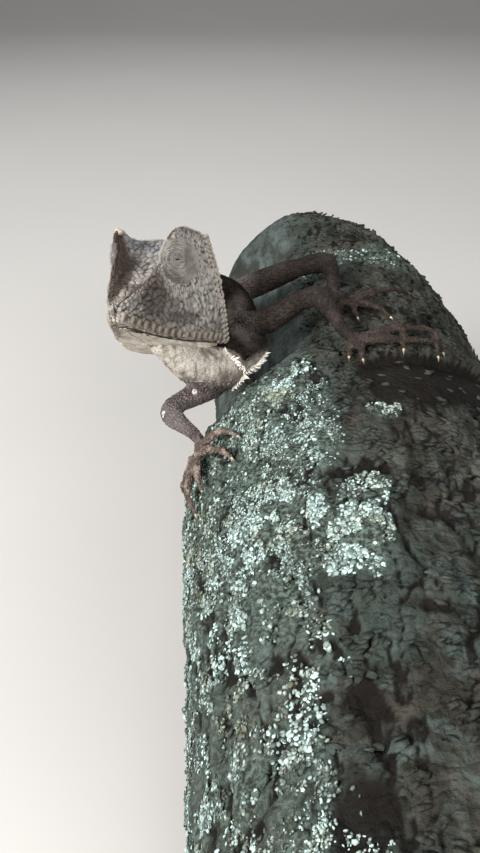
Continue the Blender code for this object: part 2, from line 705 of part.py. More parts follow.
def crest_scutes(first, last, material):
    """Low pointed scutes down the middle of the back between two rows of the body's table."""
    rows = np.linspace(*CREST_ROWS, CREST_COUNT)
    rows = rows[(rows > first + 0.06) & (rows < last - 0.06)]
    places, _, heights, backs = body_at(rows)
    along = unit(body_at(rows + 0.02)[0] - body_at(rows - 0.02)[0])
    across = unit(np.cross(backs, along))
    up = np.cross(along, across)
    made = []
    for k, place in enumerate(places):
        foot = place + up[k] * (heights[k] - 0.35)
        corners = np.array([along[k] * -0.75, across[k] * 0.45, along[k] * 0.75, across[k] * -0.45])
        point = foot + up[k] * (CREST_HEIGHT + 0.35) + along[k] * 0.35
        points = np.vstack([foot + corners, foot - up[k] * 0.3, point])
        faces = [(a, (a + 1) % 4, 5) for a in range(4)] + [((a + 1) % 4, a, 4) for a in range(4)]
        made.append(mesh_object(f"crest_{first}_{k}", points, faces, material))
    return made


def block(name, middle, halves, axes, material):
    """A box with its own directions."""
    square = np.array([(-1, -1), (1, -1), (1, 1), (-1, 1)])
    levels = [np.column_stack([square, np.full(4, z)]) for z in (-1, 1)]
    return ring_solid(name, middle + (np.array(levels) * halves) @ np.array(axes), material)


def make_eye(side, head_shell, material):
    """A closed eye: the scaly dome of the two lids, with the slit between them."""
    forward, left, up = head_frame()
    centre = head_to_world(np.array(EYE_CENTRE) * np.array([1, side, 1]))
    name = "eye_left" if side > 0 else "eye_right"
    dome = sphere(name, centre, EYE_RADII, 10, 20, (forward, up, left * side), material)
    slit_centre = centre + left * side * EYE_RADII[2]
    slit = sphere(name + "_slit", slit_centre, LID_SLIT, 8, 12, (forward, left * side, up), material)
    boolean(dome, [slit], "DIFFERENCE")
    lean = math.radians(EYE_WALL_LEAN)
    outward = left * side * math.cos(lean) - up * math.sin(lean)
    wall_middle = head_to_world((EYE_CENTRE[0], side * EYE_WALL_Y, 0.37)) - outward * 0.5 * HEAD_LENGTH
    wall = block(name + "_wall", wall_middle, np.full(3, 0.5 * HEAD_LENGTH),
                 (forward, outward, np.cross(forward, outward)), material)
    boolean(dome, [wall], "DIFFERENCE")
    cut_clear(dome, [head_shell])
    return dome


def spike(name, foot, outward, radius, height, material):
    """A five-sided pointed scale with its root sunk in."""
    side = unit(np.cross(outward, (0.3, 0.2, 1.0)))
    other = np.cross(outward, side)
    turn = np.linspace(0, 2 * math.pi, 5, endpoint=False)[:, None]
    ring = foot - outward * radius * 0.6 + radius * (np.cos(turn) * side + np.sin(turn) * other)
    points = np.vstack([ring, foot - outward * radius, foot + outward * height])
    faces = [(a, (a + 1) % 5, 6) for a in range(5)] + [((a + 1) % 5, a, 5) for a in range(5)]
    return mesh_object(name, points, faces, material)


def fold_spikes(material):
    """The rows of pale pointed scales along the throat's folds."""
    made = []
    for row, points in enumerate(FOLDS):
        points = np.array(points)
        steps = np.concatenate([[0.0], np.cumsum(np.linalg.norm(np.diff(points, axis=0), axis=1))])
        for k, foot in enumerate(smooth_curve(steps, points, np.arange(0.0, steps[-1], FOLD_PITCH))):
            outward = unit(foot - np.array(FOLD_MIDDLE))
            made.append(spike(f"fold_{row}_{k}", foot, outward, *FOLD_SIZE, material))
    return made


def make_throat(shells, material):
    """The pale throat from under the chin to the chest, and its shell."""
    joints, wide, high = zip(*THROAT_LINE)
    knots = along_line(joints, wide, [0.0])[2]
    at = np.linspace(0, knots[-1], 11)
    places, widths, _ = along_line(joints, wide, at)
    heights = along_line(joints, high, at)[1]
    backs = np.tile(head_frame()[2], (len(at), 1))
    throat = ring_solid("throat", oval_rings(places, widths, heights, backs, 18), material)
    throat_shell = shell(throat)
    boolean(throat, fold_spikes(material), "UNION")
    cut_clear(throat, shells)
    return throat, throat_shell


def digit_solid(name, places, material):
    """A tapering digit that arches over the bark and ends in a claw."""
    points = np.array([on_branch(*place) for place in places])
    knots = np.linalg.norm(np.diff(points, axis=0), axis=1).sum()
    radii = np.linspace(DIGIT_RADII[0], DIGIT_RADII[1], len(points))
    line, wide, _ = along_line(points, radii, np.linspace(0, knots, 2 * len(points) + 1))
    backs = np.tile(unit(on_branch(*places[0]) * np.array([1, 0, 1])), (len(line), 1))
    return ring_solid(name, oval_rings(line, wide, wide * 0.9, backs, 7), material)


def make_limb(limb, body_shells, branch_shell, material):
    """One limb in three nodes: root to joint, joint to wrist or ankle, and hand or foot with digits."""
    joints, radii = LIMBS[limb]
    knots = along_line(joints, radii, [0.0])[2]
    parts = ((0.0, knots[2]), (knots[2] + GAP, knots[3]), (knots[3] + GAP, knots[4] + 0.8))
    made = []
    for name, (start, end) in zip(LIMB_NAMES[limb], parts):
        count = max(4, int((end - start) / 1.6))
        places, wide, _ = along_line(joints, radii, np.linspace(start, min(end, knots[-1]), count))
        backs = np.tile(unit([places[0][0], 0.3, abs(places[0][2]) + 9.0]), (count, 1))
        made.append(ring_solid(name, oval_rings(places, wide, wide, backs, 12), material))
    digits = [digit_solid(f"{limb}_digit_{k}", places, material) for k, places in enumerate(DIGITS[limb])]
    lower_shell = shell(made[1])
    boolean(made[2], digits, "UNION")
    cut_clear(made[2], [branch_shell, lower_shell])
    cut_clear(made[1], [branch_shell])
    cut_clear(made[0], [*body_shells, branch_shell, lower_shell])
    return made


def make_body(head_shells, materials):
    """Neck, trunk and tail as lengths of one line, with a thin gap between neighbours, and their shells."""
    torso = ring_solid("torso", body_rings(*TORSO_ROWS, 14, 22), materials["trunk"])
    torso_shell = shell(torso)
    neck = ring_solid("neck", body_rings(*NECK_ROWS, 9, 22), materials["neck"])
    neck_shell = shell(neck)
    boolean(torso, crest_scutes(*TORSO_ROWS, materials["trunk"]), "UNION")
    boolean(neck, crest_scutes(*NECK_ROWS, materials["neck"]), "UNION")
    cut_clear(neck, [torso_shell, *head_shells])
    tail = []
    for k in range(len(TAIL_ROWS) - 1):
        start = TAIL_ROWS[k] + row_step(TAIL_ROWS[k])
        rings = body_rings(start, TAIL_ROWS[k + 1], 9, 12)
        tail.append(ring_solid(f"tail_{k + 1}", rings, materials["trunk"]))
    return [neck, torso, *tail], [torso_shell, neck_shell]


def settle(pieces):
    """Move the whole model so that its origin is the middle of its lowest face."""
    corners = np.array([v.co for piece in pieces for v in piece.data.vertices])
    low = corners.min(0)
    high = corners.max(0)
    shift = np.array([(low[0] + high[0]) / 2, (low[1] + high[1]) / 2, low[2]])
    for piece in pieces:
        for corner in piece.data.vertices:
            corner.co = np.array(corner.co) - shift


def main():
    clear_scene()
    materials = {name: make_material(name, 0.4 if name == "stand" else 0.75) for name in COLOURS}
    branch = make_branch(materials["bark"])
    branch_shell = shell(branch)
    pieces = [branch, *make_stand(branch_shell, materials["stand"])]
    head, head_shell, wide_shell = make_head(materials["head"])
    jaw = ring_solid("lower_jaw", jaw_rings(13), materials["pale"])
    jaw_shell = shell(jaw)
    body, body_shells = make_body([head_shell, jaw_shell], materials)
    throat, throat_shell = make_throat([wide_shell, jaw_shell, *body_shells], materials["pale"])
    eyes = [make_eye(side, head_shell, materials["eye"]) for side in (1, -1)]
    pieces += [head, jaw, throat, *body, *eyes]
    for limb in LIMBS:
        shells = [*body_shells, throat_shell] if limb.startswith("arm") else body_shells[:1]
        pieces += make_limb(limb, shells, branch_shell, materials["limb"])
    for piece in pieces:
        shade_round(piece)
    settle(pieces)


main()
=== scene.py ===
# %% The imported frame
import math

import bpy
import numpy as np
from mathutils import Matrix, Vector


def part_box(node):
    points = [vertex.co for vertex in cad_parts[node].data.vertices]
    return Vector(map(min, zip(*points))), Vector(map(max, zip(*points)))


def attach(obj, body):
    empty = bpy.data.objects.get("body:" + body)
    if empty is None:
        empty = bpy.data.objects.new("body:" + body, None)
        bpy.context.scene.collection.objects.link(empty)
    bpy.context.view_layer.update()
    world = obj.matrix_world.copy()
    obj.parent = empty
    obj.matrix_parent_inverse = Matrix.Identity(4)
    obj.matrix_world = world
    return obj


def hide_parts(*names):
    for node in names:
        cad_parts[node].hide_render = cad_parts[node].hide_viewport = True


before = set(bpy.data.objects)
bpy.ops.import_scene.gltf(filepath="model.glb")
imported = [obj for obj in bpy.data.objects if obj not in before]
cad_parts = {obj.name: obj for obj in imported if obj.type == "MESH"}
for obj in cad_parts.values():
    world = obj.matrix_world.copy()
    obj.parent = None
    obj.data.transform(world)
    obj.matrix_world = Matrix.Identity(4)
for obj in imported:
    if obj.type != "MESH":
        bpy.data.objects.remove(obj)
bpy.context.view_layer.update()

# %% [markdown]
# A young casque-headed lizard grips a cut length of bark-covered branch, and the branch stands on a
# plain base with two rods. The solids of the frame give the outline. Here each one gets the skin,
# scales, bark and lichen that a museum's model maker would add.
#
# All shapes below are worked out in millimetres in a working frame: the branch's axis lies along Y,
# Z is up and the animal faces -Y. The stand's base tells where that frame sits in the part.

MM = 0.001
AXIS_OVER_BASE = 52.0
base_low, base_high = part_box("stand_base")
SHIFT = np.array([(base_low.x + base_high.x) / 2, (base_low.y + base_high.y) / 2,
                  base_high.z + AXIS_OVER_BASE * MM])
print("working frame moved by", (SHIFT / MM).round(2), "mm")

# %% [markdown]
# Every surface here is a grid of points worked out as one array, so a few small functions do all the
# bookkeeping: steps, hills and bands to fade one form into another, smooth curves through a table of
# sizes, and a function that hands points and faces to Blender in one go. A loop over single points
# would be easier to read but hundreds of times slower.

# %% Small helpers for curves
def unit(vectors):
    """Vectors divided by their own length."""
    vectors = np.asarray(vectors, float)
    return vectors / np.maximum(np.linalg.norm(vectors, axis=-1, keepdims=True), 1e-12)


def ease(x):
    """Zero below 0, one above 1, and between them three x squared less two x cubed."""
    x = np.clip(x, 0.0, 1.0)
    return x * x * (3 - 2 * x)


def hill(distance, width):
    """e to the power of minus the square of distance over width."""
    return np.exp(-((distance / width) ** 2))


def band(x, low, high, soft, soft_high=None):
    """One between low and high, zero outside them, and eased over a soft width inside each end."""
    return ease((x - low) / soft) * ease((high - x) / (soft_high or soft))


def smooth_curve(knots, values, at):
    """Cubic pieces through the values at the knots; the slope at a knot joins its two neighbours."""
    knots = np.asarray(knots, float)
    values = np.asarray(values, float)
    flat = values.reshape(len(knots), -1)
    slopes = np.empty_like(flat)
    slopes[1:-1] = (flat[2:] - flat[:-2]) / (knots[2:] - knots[:-2])[:, None]
    slopes[0] = (flat[1] - flat[0]) / (knots[1] - knots[0])
    slopes[-1] = (flat[-1] - flat[-2]) / (knots[-1] - knots[-2])
    at = np.clip(np.asarray(at, float), knots[0], knots[-1])
    i = np.clip(np.searchsorted(knots, at, side="right") - 1, 0, len(knots) - 2)
    width = (knots[i + 1] - knots[i])[:, None]
    t = (at - knots[i])[:, None] / width
    start = (2 * t**3 - 3 * t**2 + 1) * flat[i] + (t**3 - 2 * t**2 + t) * width * slopes[i]
    end = (3 * t**2 - 2 * t**3) * flat[i + 1] + (t**3 - t**2) * width * slopes[i + 1]
    return (start + end).reshape((len(at),) + values.shape[1:])


def run_lengths(points):
    """Length along a line of points, from its start to each point."""
    return np.concatenate([[0.0], np.cumsum(np.linalg.norm(np.diff(points, axis=0), axis=1))])


def spread(line, pitch, start=0.3):
    """Places at even steps along a line, and the line's direction there."""
    steps = run_lengths(line)
    at = np.arange(start, steps[-1], pitch)
    ahead, behind = smooth_curve(steps, line, at + 0.1), smooth_curve(steps, line, at - 0.1)
    return smooth_curve(steps, line, at), ahead - behind


# %% Small helpers for meshes
def tube_faces(rows, sides):
    """Faces of a closed tube: a quad between four neighbours on two rings, and a fan over each end."""
    here = np.arange(rows * sides).reshape(rows, sides)
    beside = np.roll(here, -1, 1)
    quads = np.stack([here[:-1], beside[:-1], beside[1:], here[1:]], -1).reshape(-1, 4)
    near = np.stack([np.full(sides, rows * sides), beside[0], here[0]], -1)
    far = np.stack([np.full(sides, rows * sides + 1), here[-1], beside[-1]], -1)
    return [quads, np.vstack([near, far])]


def tube_points(rings):
    """The points of the rings one after the other, then the middle of the first and of the last ring."""
    return np.vstack([rings.reshape(-1, 3), rings[0].mean(0), rings[-1].mean(0)])


def turned_out(points, faces):
    """The faces as they are, or all reversed where the sum of a . (b x c) over them is negative."""
    total = 0.0
    for group in faces:
        a = points[group[:, 0]]
        for k in range(1, group.shape[1] - 1):
            total += (a * np.cross(points[group[:, k]], points[group[:, k + 1]])).sum()
    return faces if total > 0 else [group[:, ::-1] for group in faces]


def joined(parts):
    """Parts one after the other: points, faces moved on by the points before them, further values."""
    before = np.cumsum([0] + [len(part[0]) for part in parts])
    faces = [np.vstack([part[1][group] + start for part, start in zip(parts, before)])
             for group in range(len(parts[0][1]))]
    further = [np.concatenate([part[k] for part in parts]) for k in range(2, len(parts[0]))]
    return [np.vstack([part[0] for part in parts]), faces, *further]


def lay_mesh(name, points, faces, material, slot=None, smooth=True, spots=None, **values):
    """A piece of the model: each point is its place in millimetres, made metres, plus the shift.

    Every further value is kept as one number per point, which the finish can read. Spots, where given,
    are places on a flat map, one for each point. The slot, the record's name for the material, is not used.
    """
    points = np.asarray(points, float)
    faces = turned_out(points - points.mean(0), faces)
    mesh = bpy.data.meshes.new(name)
    mesh.vertices.add(len(points))
    mesh.vertices.foreach_set("co", (points * MM + SHIFT).ravel())
    corners = np.concatenate([group.ravel() for group in faces]).astype(np.int32)
    sizes = np.concatenate([np.full(len(group), group.shape[1]) for group in faces])
    mesh.loops.add(len(corners))
    mesh.loops.foreach_set("vertex_index", corners)
    mesh.polygons.add(len(sizes))
    mesh.polygons.foreach_set("loop_start", np.concatenate([[0], np.cumsum(sizes)[:-1]]).astype(np.int32))
    mesh.update(calc_edges=True)
    if spots is not None:
        mesh.uv_layers.new(name="OFBake").data.foreach_set("uv", spots[corners].ravel())
    for key, value in values.items():
        kept = mesh.attributes.new(key, "FLOAT", "POINT")
        kept.data.foreach_set("value", np.asarray(value, np.float32).ravel())
    if smooth:
        mesh.shade_smooth()
    mesh.materials.append(material)
    piece = bpy.data.objects.new(name, mesh)
    bpy.context.scene.collection.objects.link(piece)
    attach(piece, "root")
    print(f"{name}: {len(points)} points, {int((sizes - 2).sum())} triangles")
    return piece


def lay_tube(name, rings, node, material, slot, ends=None, **grids):
    """A closed tube in place of a solid. A grid's value at the two end points is 0, or as ends says."""
    ends = ends or {}
    values = {key: np.append(grid.ravel(), ends.get(key, (0.0, 0.0))) for key, grid in grids.items()}
    piece = lay_mesh(name, tube_points(rings), tube_faces(*rings.shape[:2]), material, slot, **values)
    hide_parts(node)


# %% [markdown]
# Bark, plates and warts are never quite regular. Two fields of random numbers give that: a cloud, which
# rises and falls softly, and plates, which part space into many-sided cells like cracked mud. Both
# start from whole-number cells whose corners are scrambled into fixed random numbers, so each run
# gives the same model.

# %% Random fields
CELL_FACTORS, SEED_FACTOR, MIXING_FACTOR = (73856093, 19349663, 83492791), 6542989, 1274126177
LOW_BITS = 0xFFFFFF


def scrambled(cell, seed):
    """A number from 0 to 1 for a cell: its three whole numbers times large factors, folded twice."""
    x, y, z = [cell[..., axis] * factor for axis, factor in enumerate(CELL_FACTORS)]
    mixed = x ^ y ^ z ^ (seed * SEED_FACTOR)
    mixed = (mixed ^ (mixed >> 13)) * MIXING_FACTOR
    mixed = (mixed ^ (mixed >> 16)) & LOW_BITS
    return mixed / LOW_BITS


def cloud(points, size, seed=1, octaves=1):
    """From -1 to 1: numbers at cell corners, blended by the smooth step; each octave half the last."""
    total = np.zeros(points.shape[:-1])
    for octave in range(octaves):
        scaled = points / (size * 0.5**octave)
        cell = np.floor(scaled).astype(np.int64)
        t = ease(scaled - cell)
        level = 0.0
        for corner in range(8):
            step = np.array([corner & 1, corner >> 1 & 1, corner >> 2 & 1])
            share = np.prod(np.where(step == 1, t, 1 - t), axis=-1)
            level = level + share * scrambled(cell + step, seed + octave)
        total += (level * 2 - 1) * 0.5**octave
    return total / (2 - 0.5 ** (octaves - 1))


def drift(points, sizes, first_seed, octaves=1):
    """Three clouds with seeds in a row, as one push along X, Y and Z."""
    return np.stack([cloud(points, size, first_seed + k, octaves) for k, size in enumerate(sizes)], -1)


def plates(points, size, seed=1, scatter=0.85):
    """One random spot lies in each cell. Gives how much farther the second spot is than the nearest,
    and the nearest spot's own random number."""
    scaled = points / size
    cell = np.floor(scaled).astype(np.int64)
    near = np.full(points.shape[:-1], 9.0)
    second = near.copy()
    tone = np.zeros(points.shape[:-1])
    for k in range(27):
        spot = cell + np.array([k % 3 - 1, k // 3 % 3 - 1, k // 9 - 1])
        aim = np.stack([scrambled(spot, seed + 11 * axis) for axis in range(3)], -1)
        gap = np.linalg.norm(spot + 0.5 + (aim - 0.5) * scatter - scaled, axis=-1)
        closer = gap < near
        second = np.where(closer, near, np.minimum(second, gap))
        tone = np.where(closer, scrambled(spot, seed + 77), tone)
        near = np.where(closer, gap, near)
    return second - near, tone


def plate_height(edge, groove):
    """How high a plate stands: zero in its groove, then rising as a quarter circle to one on its top."""
    t = np.clip(edge / groove, 0, 1)
    return np.sqrt(np.maximum(1 - (1 - t) ** 2, 0))


# %% [markdown]
# A finish is a material made of nodes. Written as plain Python it would be a long list of boxes and
# wires, so a small class wraps a socket: adding or multiplying two of them adds the Math node that
# does it. Colours must not go through Math nodes, which turn them grey, so they are blended with Mix
# nodes. One method adds any other node.

# %% Shader maths
class Flow:
    """A socket of a finish. Sums, differences and products of flows become Math nodes."""

    def __init__(self, finish, socket):
        self.finish = finish
        self.socket = socket

    def maths(self, operation, first, second):
        return self.finish.node("ShaderNodeMath", {"operation": operation}, {0: first, 1: second})

    def __add__(self, other):
        return self.maths("ADD", self, other)

    def __sub__(self, other):
        return self.maths("SUBTRACT", self, other)

    def __rsub__(self, other):
        return self.maths("SUBTRACT", other, self)

    def __mul__(self, other):
        return self.maths("MULTIPLY", self, other)

    __radd__ = __add__
    __rmul__ = __mul__


class Finish:
    """A material under construction. Sizes of patterns are in millimetres of the model."""

    def __init__(self, name):
        self.material = bpy.data.materials.new(name)
        self.material.use_nodes = True
        self.tree = self.material.node_tree
        self.tree.nodes.clear()
        self.place = self.node("ShaderNodeTexCoord", out="Object")

    def node(self, kind, settings=None, sockets=None, out=0):
        """Add a node: first its settings, then the values or flows of its sockets. Gives one output."""
        made = self.tree.nodes.new(kind)
        for key, value in (settings or {}).items():
            setattr(made, key, value)
        for key, value in (sockets or {}).items():
            if isinstance(value, Flow):
                self.tree.links.new(value.socket, made.inputs[key])
            else:
                made.inputs[key].default_value = value
        return Flow(self, made.outputs[out]) if made.outputs else None

    def stretched(self, x, y, z):
        """The place on the model with its three axes scaled, for patterns longer one way."""
        return self.node("ShaderNodeMapping", {"vector_type": "POINT"},
                         {"Vector": self.place, "Scale": (x, y, z)})

    def noise(self, size, detail=3.0, place=None):
        """Soft noise from 0 to 1 with forms of a size."""
        return self.node("ShaderNodeTexNoise", {}, {"Vector": place or self.place, "Scale": 1 / (size * MM),
                                                    "Detail": detail, "Roughness": 0.6})

    def cells(self, size, place=None):
        """Distance to the nearest border between cells of a size, in cells."""
        return self.node("ShaderNodeTexVoronoi", {"feature": "DISTANCE_TO_EDGE"},
                         {"Vector": place or self.place, "Scale": 1 / (size * MM)}, "Distance")

    def value(self, name):
        """A number that the mesh keeps for each point."""
        return self.node("ShaderNodeAttribute", {"attribute_name": name}, out="Fac")

    def step(self, flow, low, high):
        """Zero at low, one at high, smooth between; low may be the larger."""
        return self.node("ShaderNodeMapRange", {"interpolation_type": "SMOOTHSTEP"},
                         {"Value": flow, "From Min": low, "From Max": high})

    def patches(self, size, detail, low, high):
        """A mask of patches: where the noise of a size goes from low to high."""
        return self.step(self.noise(size, detail), low, high)

    def blend(self, mask, first, second):
        """The first colour where the mask is 0, the second where it is 1."""
        first, second = [(*c, 1.0) if isinstance(c, tuple) else c for c in (first, second)]
        return self.node("ShaderNodeMix", {"data_type": "RGBA"}, {0: mask, 6: first, 7: second}, 2)

    def layers(self, colour, *rows):
        """Colours laid over one another, each through its own mask."""
        for mask, tint in rows:
            colour = self.blend(mask, colour, tint)
        return colour

    def bump(self, height, strength, depth):
        """A normal for a height from 0 to 1 that stands for a depth in millimetres."""
        return self.node("ShaderNodeBump", {},
                         {"Height": height, "Strength": strength, "Distance": depth * MM})

    def done(self, colour, roughness, normal=None, **own):
        """Close the finish with its shader; own sockets are named with _ for a space."""
        sockets = {"Base Color": colour, "Roughness": roughness}
        if normal is not None:
            sockets["Normal"] = normal
        sockets.update({key.replace("_", " "): value for key, value in own.items()})
        shader = self.node("ShaderNodeBsdfPrincipled", {}, sockets)
        self.node("ShaderNodeOutputMaterial", {}, {"Surface": shader})
        return self.material


# %% [markdown]
# The branch is a cut length of rough wood, thick as a child's wrist. It is a tube whose radius depends
# on the angle round it and the place along it: a swelling on the upper left flank, a hollow behind
# that, slow ridges, and ends that round off. The same formula shapes the solid. The render adds flakes
# of bark with lifted edges, cracks and rotted hollows, as relief on a fine grid that is closer set on
# top, where it is looked at. Angles are in degrees, with 90 at the top and 150 on the left flank.

# %% Branch: its slow shape
BRANCH_RADIUS = 29.0
BRANCH_NEAR, BRANCH_FAR = -90.0, 86.0
BRANCH_LENGTH = BRANCH_FAR - BRANCH_NEAR
FLANK_ANGLE, HOLLOW_ANGLE = 150.0, 136.0


def hollow_edge(angle):
    """Where along the branch the swelling gives way to the hollow: a slanting line."""
    return (FLANK_ANGLE - angle) * 0.18 - 9.0


def branch_radius(angle, along):
    """Round log + swelling hill - hollow hill + three slow sine ridges, rounded off at both ends."""
    edge = hollow_edge(angle)
    swelling = hill(angle - FLANK_ANGLE, 34.0) * ease((edge + 7.0 - along) / 9.0)
    swelling = swelling * ease((along + 78.0) / 45.0)
    hollow = hill(angle - HOLLOW_ANGLE, 24.0) * band(along, edge + 5.0, 66.0, 10.0, 18.0)
    turn = np.radians(angle)
    ridges = (np.sin(5 * turn + along * 0.045) + 0.7 * np.sin(9 * turn - along * 0.06 + 1.0)
              + 0.6 * np.sin(3 * turn + along * 0.13 + 2.0))
    radius = BRANCH_RADIUS + 4.6 * swelling - 5.0 * hollow + 0.33 * ridges
    slant = ease((np.cos(turn - math.radians(12.0)) + 0.25) / 1.25)
    rounding = 22.0 + 36.0 * slant
    far = np.clip((along - (BRANCH_FAR - rounding)) / rounding, 0, 1)
    near = np.clip((BRANCH_NEAR + 6.0 - along) / 6.0, 0, 1)
    return radius * np.sqrt(1 - (0.9 * far) ** (2.8 - 1.3 * slant)) * (1 - 0.12 * near**2)


def round_branch(angle, along, radius):
    """Cosine of the angle, place along, sine of the angle, with the radius."""
    turn = np.radians(angle)
    return np.stack([radius * np.cos(turn), along, radius * np.sin(turn)], -1)


def from_below(angle):
    """The same angle counted from -90, straight below, to 270."""
    return (angle + 90.0) % 360.0 - 90.0


# %% Branch: where crust, cracks and smooth bark lie
# Crust's lower edge: place along, angle. Hollows: angle, place along, their two widths, depth.
CRUST_EDGE = ((-90.0, 112.0), (-80.0, 113.0), (-58.0, 117.0), (-40.0, 111.0), (-25.0, 105.0), (-14.0, 108.0))
HOLLOWS = ((113.0, -68.0, 5.0, 3.2, 1.7), (117.0, -79.0, 7.0, 4.0, 2.2), (103.0, -34.5, 14.0, 1.3, 1.3),
           (89.0, -43.5, 6.0, 1.6, 1.4), (72.0, -62.0, 8.0, 2.0, 1.4), (96.0, -58.0, 7.0, 1.1, 0.9))


def crust_share(angle, along, points, bare):
    """Where lichen is thick: past an edge that wanders along the left flank, and on small islands."""
    angle = from_below(angle)
    edge = np.interp(along, *zip(*CRUST_EDGE)) + 8.0 * cloud(points, 7.0, 5, 2)
    front = hollow_edge(angle) + 2.5 * cloud(points, 5.0, 9, 2)
    flank = band(angle, edge, 205.0, 7.0, 22.0) * ease((front - along) / 3.0)
    thin = 1 - 0.6 * ease((-46.0 - along) / 12.0) * ease((0.35 - cloud(points, 9.0, 21, 3)) / 0.4)
    middle = hill(angle - 112.0, 13.0) * hill(along + 46.0, 7.0)
    middle = middle + 0.9 * hill(angle - 94.0, 6.0) * hill(along + 21.0, 3.0)
    middle = ease((middle + 0.5 * cloud(points, 4.0, 33, 2) - 0.42) / 0.25)
    islands = ease((cloud(points, 13.0, 41, 2) - 0.34) / 0.16) * (1 - bare)
    return np.clip(np.maximum(flank * thin, np.maximum(middle, islands * 0.8)), 0, 1)


def bare_share(angle, along, points):
    """Where the bark is worn smooth: the hollow beside the animal and the far upper flank."""
    past = along - hollow_edge(angle) + 3.0 * cloud(points, 9.0, 55)
    return band(angle, 108.0, 178.0, 12.0) * ease(past / 5.0)


def split_share(angle, along):
    """The long dark split across the top: steep at its lifted far lip, shallow towards the front."""
    ahead = along - (-8.0 + (104.0 - angle) * 0.2)
    span = band(angle, 30.0, 101.0, 14.0, 9.0)
    split = span * ease(-ahead / 0.9) * np.exp(np.minimum(ahead, 0) / 7.0)
    return split, span * ease(ahead / 0.6) * hill(ahead, 3.2)


def bark_surface(angle, along):
    """Radius = slow shape + flakes + grain - cracks - split - hollows; and the shares for the finish."""
    slow = branch_radius(angle, along)
    base = round_branch(angle, along, slow)
    warped = base + 1.3 * drift(base, (6.0, 7.0, 6.0), 61) + 0.5 * drift(base, (1.6, 1.6, 1.6), 64, 2)
    edge, tone = plates(warped * (1.0, 0.34, 1.0), 3.4, 3)
    small, small_tone = plates(warped * (1.0, 0.5, 1.0), 1.6, 8)
    bare = bare_share(angle, along, base)
    crust = crust_share(angle, along, base, bare)
    split, lip = split_share(angle, along)
    rough = (1 - 0.8 * bare) * (1 - 0.9 * ease(split * 2.5))
    flakes = (tone - 0.45) * 0.80 * ease(edge / 0.10) * ease((cloud(base, 9.0, 67) + 0.5) / 0.5)
    scraps = (small_tone - 0.5) * 0.65 * ease(small / 0.14) + 0.35 * cloud(base, 1.2, 68, 2)
    grain = cloud(base * (1.0, 0.25, 1.0), 2.2, 13, 4)
    crag = np.abs(cloud(warped * (1.0, 0.35, 1.0), 4.5, 17, 4))
    pits = sum(depth * hill(angle - a, wide) * hill(along - y, long) for a, y, wide, long, depth in HOLLOWS)
    pits = pits * (0.75 + 0.5 * cloud(base, 2.4, 71, 2))
    lift = rough * (flakes + scraps + 0.55 * grain - 0.54 * (1 - ease(crag / 0.10)))
    lift = lift + 0.15 * grain * bare - 2.3 * split + 0.7 * lip - pits
    from_end = BRANCH_LENGTH / 2 - np.abs(along - (BRANCH_NEAR + BRANCH_FAR) / 2)
    fade = 1 - 0.9 * ease((2.0 - from_end) / 2.0)
    crusty = crust * (0.25 + 0.3 * cloud(base, 1.7, 81, 2))
    lift = np.clip(lift * 0.85 - 0.25 + crusty, -3.6, 0.75) * fade
    cracks = (0.45 * (1 - ease(edge / 0.08)) + 0.25 * (1 - ease(small / 0.08))
              + 0.9 * (1 - ease(crag / 0.07)))
    deep = np.clip(ease(split * 4.5) * (0.85 + 0.3 * grain) + pits * 0.8 + rough * cracks, 0, 1)
    moist = np.maximum(band(from_below(angle), 78.0, 250.0, 40.0), ease((-30.0 - along) / 30.0))
    moist = np.clip(moist + 0.4 * cloud(base, 14.0, 83, 2), 0, 1)
    shares = {"crust": crust, "deep": deep, "bare": bare, "tone": tone, "moist": moist}
    return round_branch(angle, along, slow + lift), shares


# %% Bark finish
def bark_finish():
    """Grey-brown outer bark, dark in its cracks, blue-grey where worn, dusted with lichen where it grows."""
    f = Finish("bark")
    grain = f.noise(2.6, 8.0, f.stretched(1.0, 0.22, 1.0))
    mottle = f.noise(7.0, 5.0)
    fine = f.noise(0.55, 6.0)
    moist = f.value("moist")
    outer = f.layers(
        (0.014, 0.014, 0.010),
        (f.step(mottle, 0.36, 0.66), (0.058, 0.055, 0.045)),
        (f.step(grain, 0.46, 0.70) * 0.8, (0.074, 0.078, 0.067)),
        (f.step(f.value("tone"), 0.55, 0.95) * 0.4, (0.047, 0.058, 0.050)),
        (f.patches(15.0, 5.0, 0.44, 0.60) * moist * 0.7, (0.040, 0.055, 0.048)),
        (f.patches(5.0, 6.0, 0.52, 0.62) * (moist * 0.6 + 0.1), (0.069, 0.091, 0.085)),
        (f.patches(4.0, 6.0, 0.56, 0.66) * 0.5, (0.011, 0.010, 0.006)))
    worn = f.layers(
        (0.029, 0.038, 0.035),
        (f.step(grain, 0.34, 0.66), (0.089, 0.113, 0.107)),
        (f.patches(9.0, 4.0, 0.50, 0.64) * 0.8, (0.030, 0.028, 0.024)))
    dust = f.step(f.noise(3.0, 7.0) + f.value("crust") * 0.45, 0.56, 0.80) * 0.5
    under = f.blend(f.step(fine, 0.42, 0.6), (0.026, 0.028, 0.020), (0.110, 0.155, 0.135))
    colour = f.layers(
        outer,
        (f.value("bare"), worn),
        (dust * (moist * 0.8 + 0.2), (0.101, 0.131, 0.117)),
        (f.value("crust") * 0.9, under),
        (f.step(f.value("deep") + fine * 0.25 - 0.12, 0.12, 0.85) * 0.93, (0.007, 0.005, 0.004)))
    torn = f.step(f.cells(1.5, f.stretched(0.6, 0.9, 0.6)) + f.noise(1.0, 5.0) * 0.3, 0.10, 0.42)
    height = grain * 0.5 + fine * 0.5 + f.noise(1.4, 7.0) * 0.9 + torn * 0.35
    roughness = f.step(mottle, 0.2, 0.8) * 0.15 + 0.78
    return f.done(colour, roughness, f.bump(height, 1.0, 0.85), Specular_IOR_Level=0.12)


BARK = bark_finish()

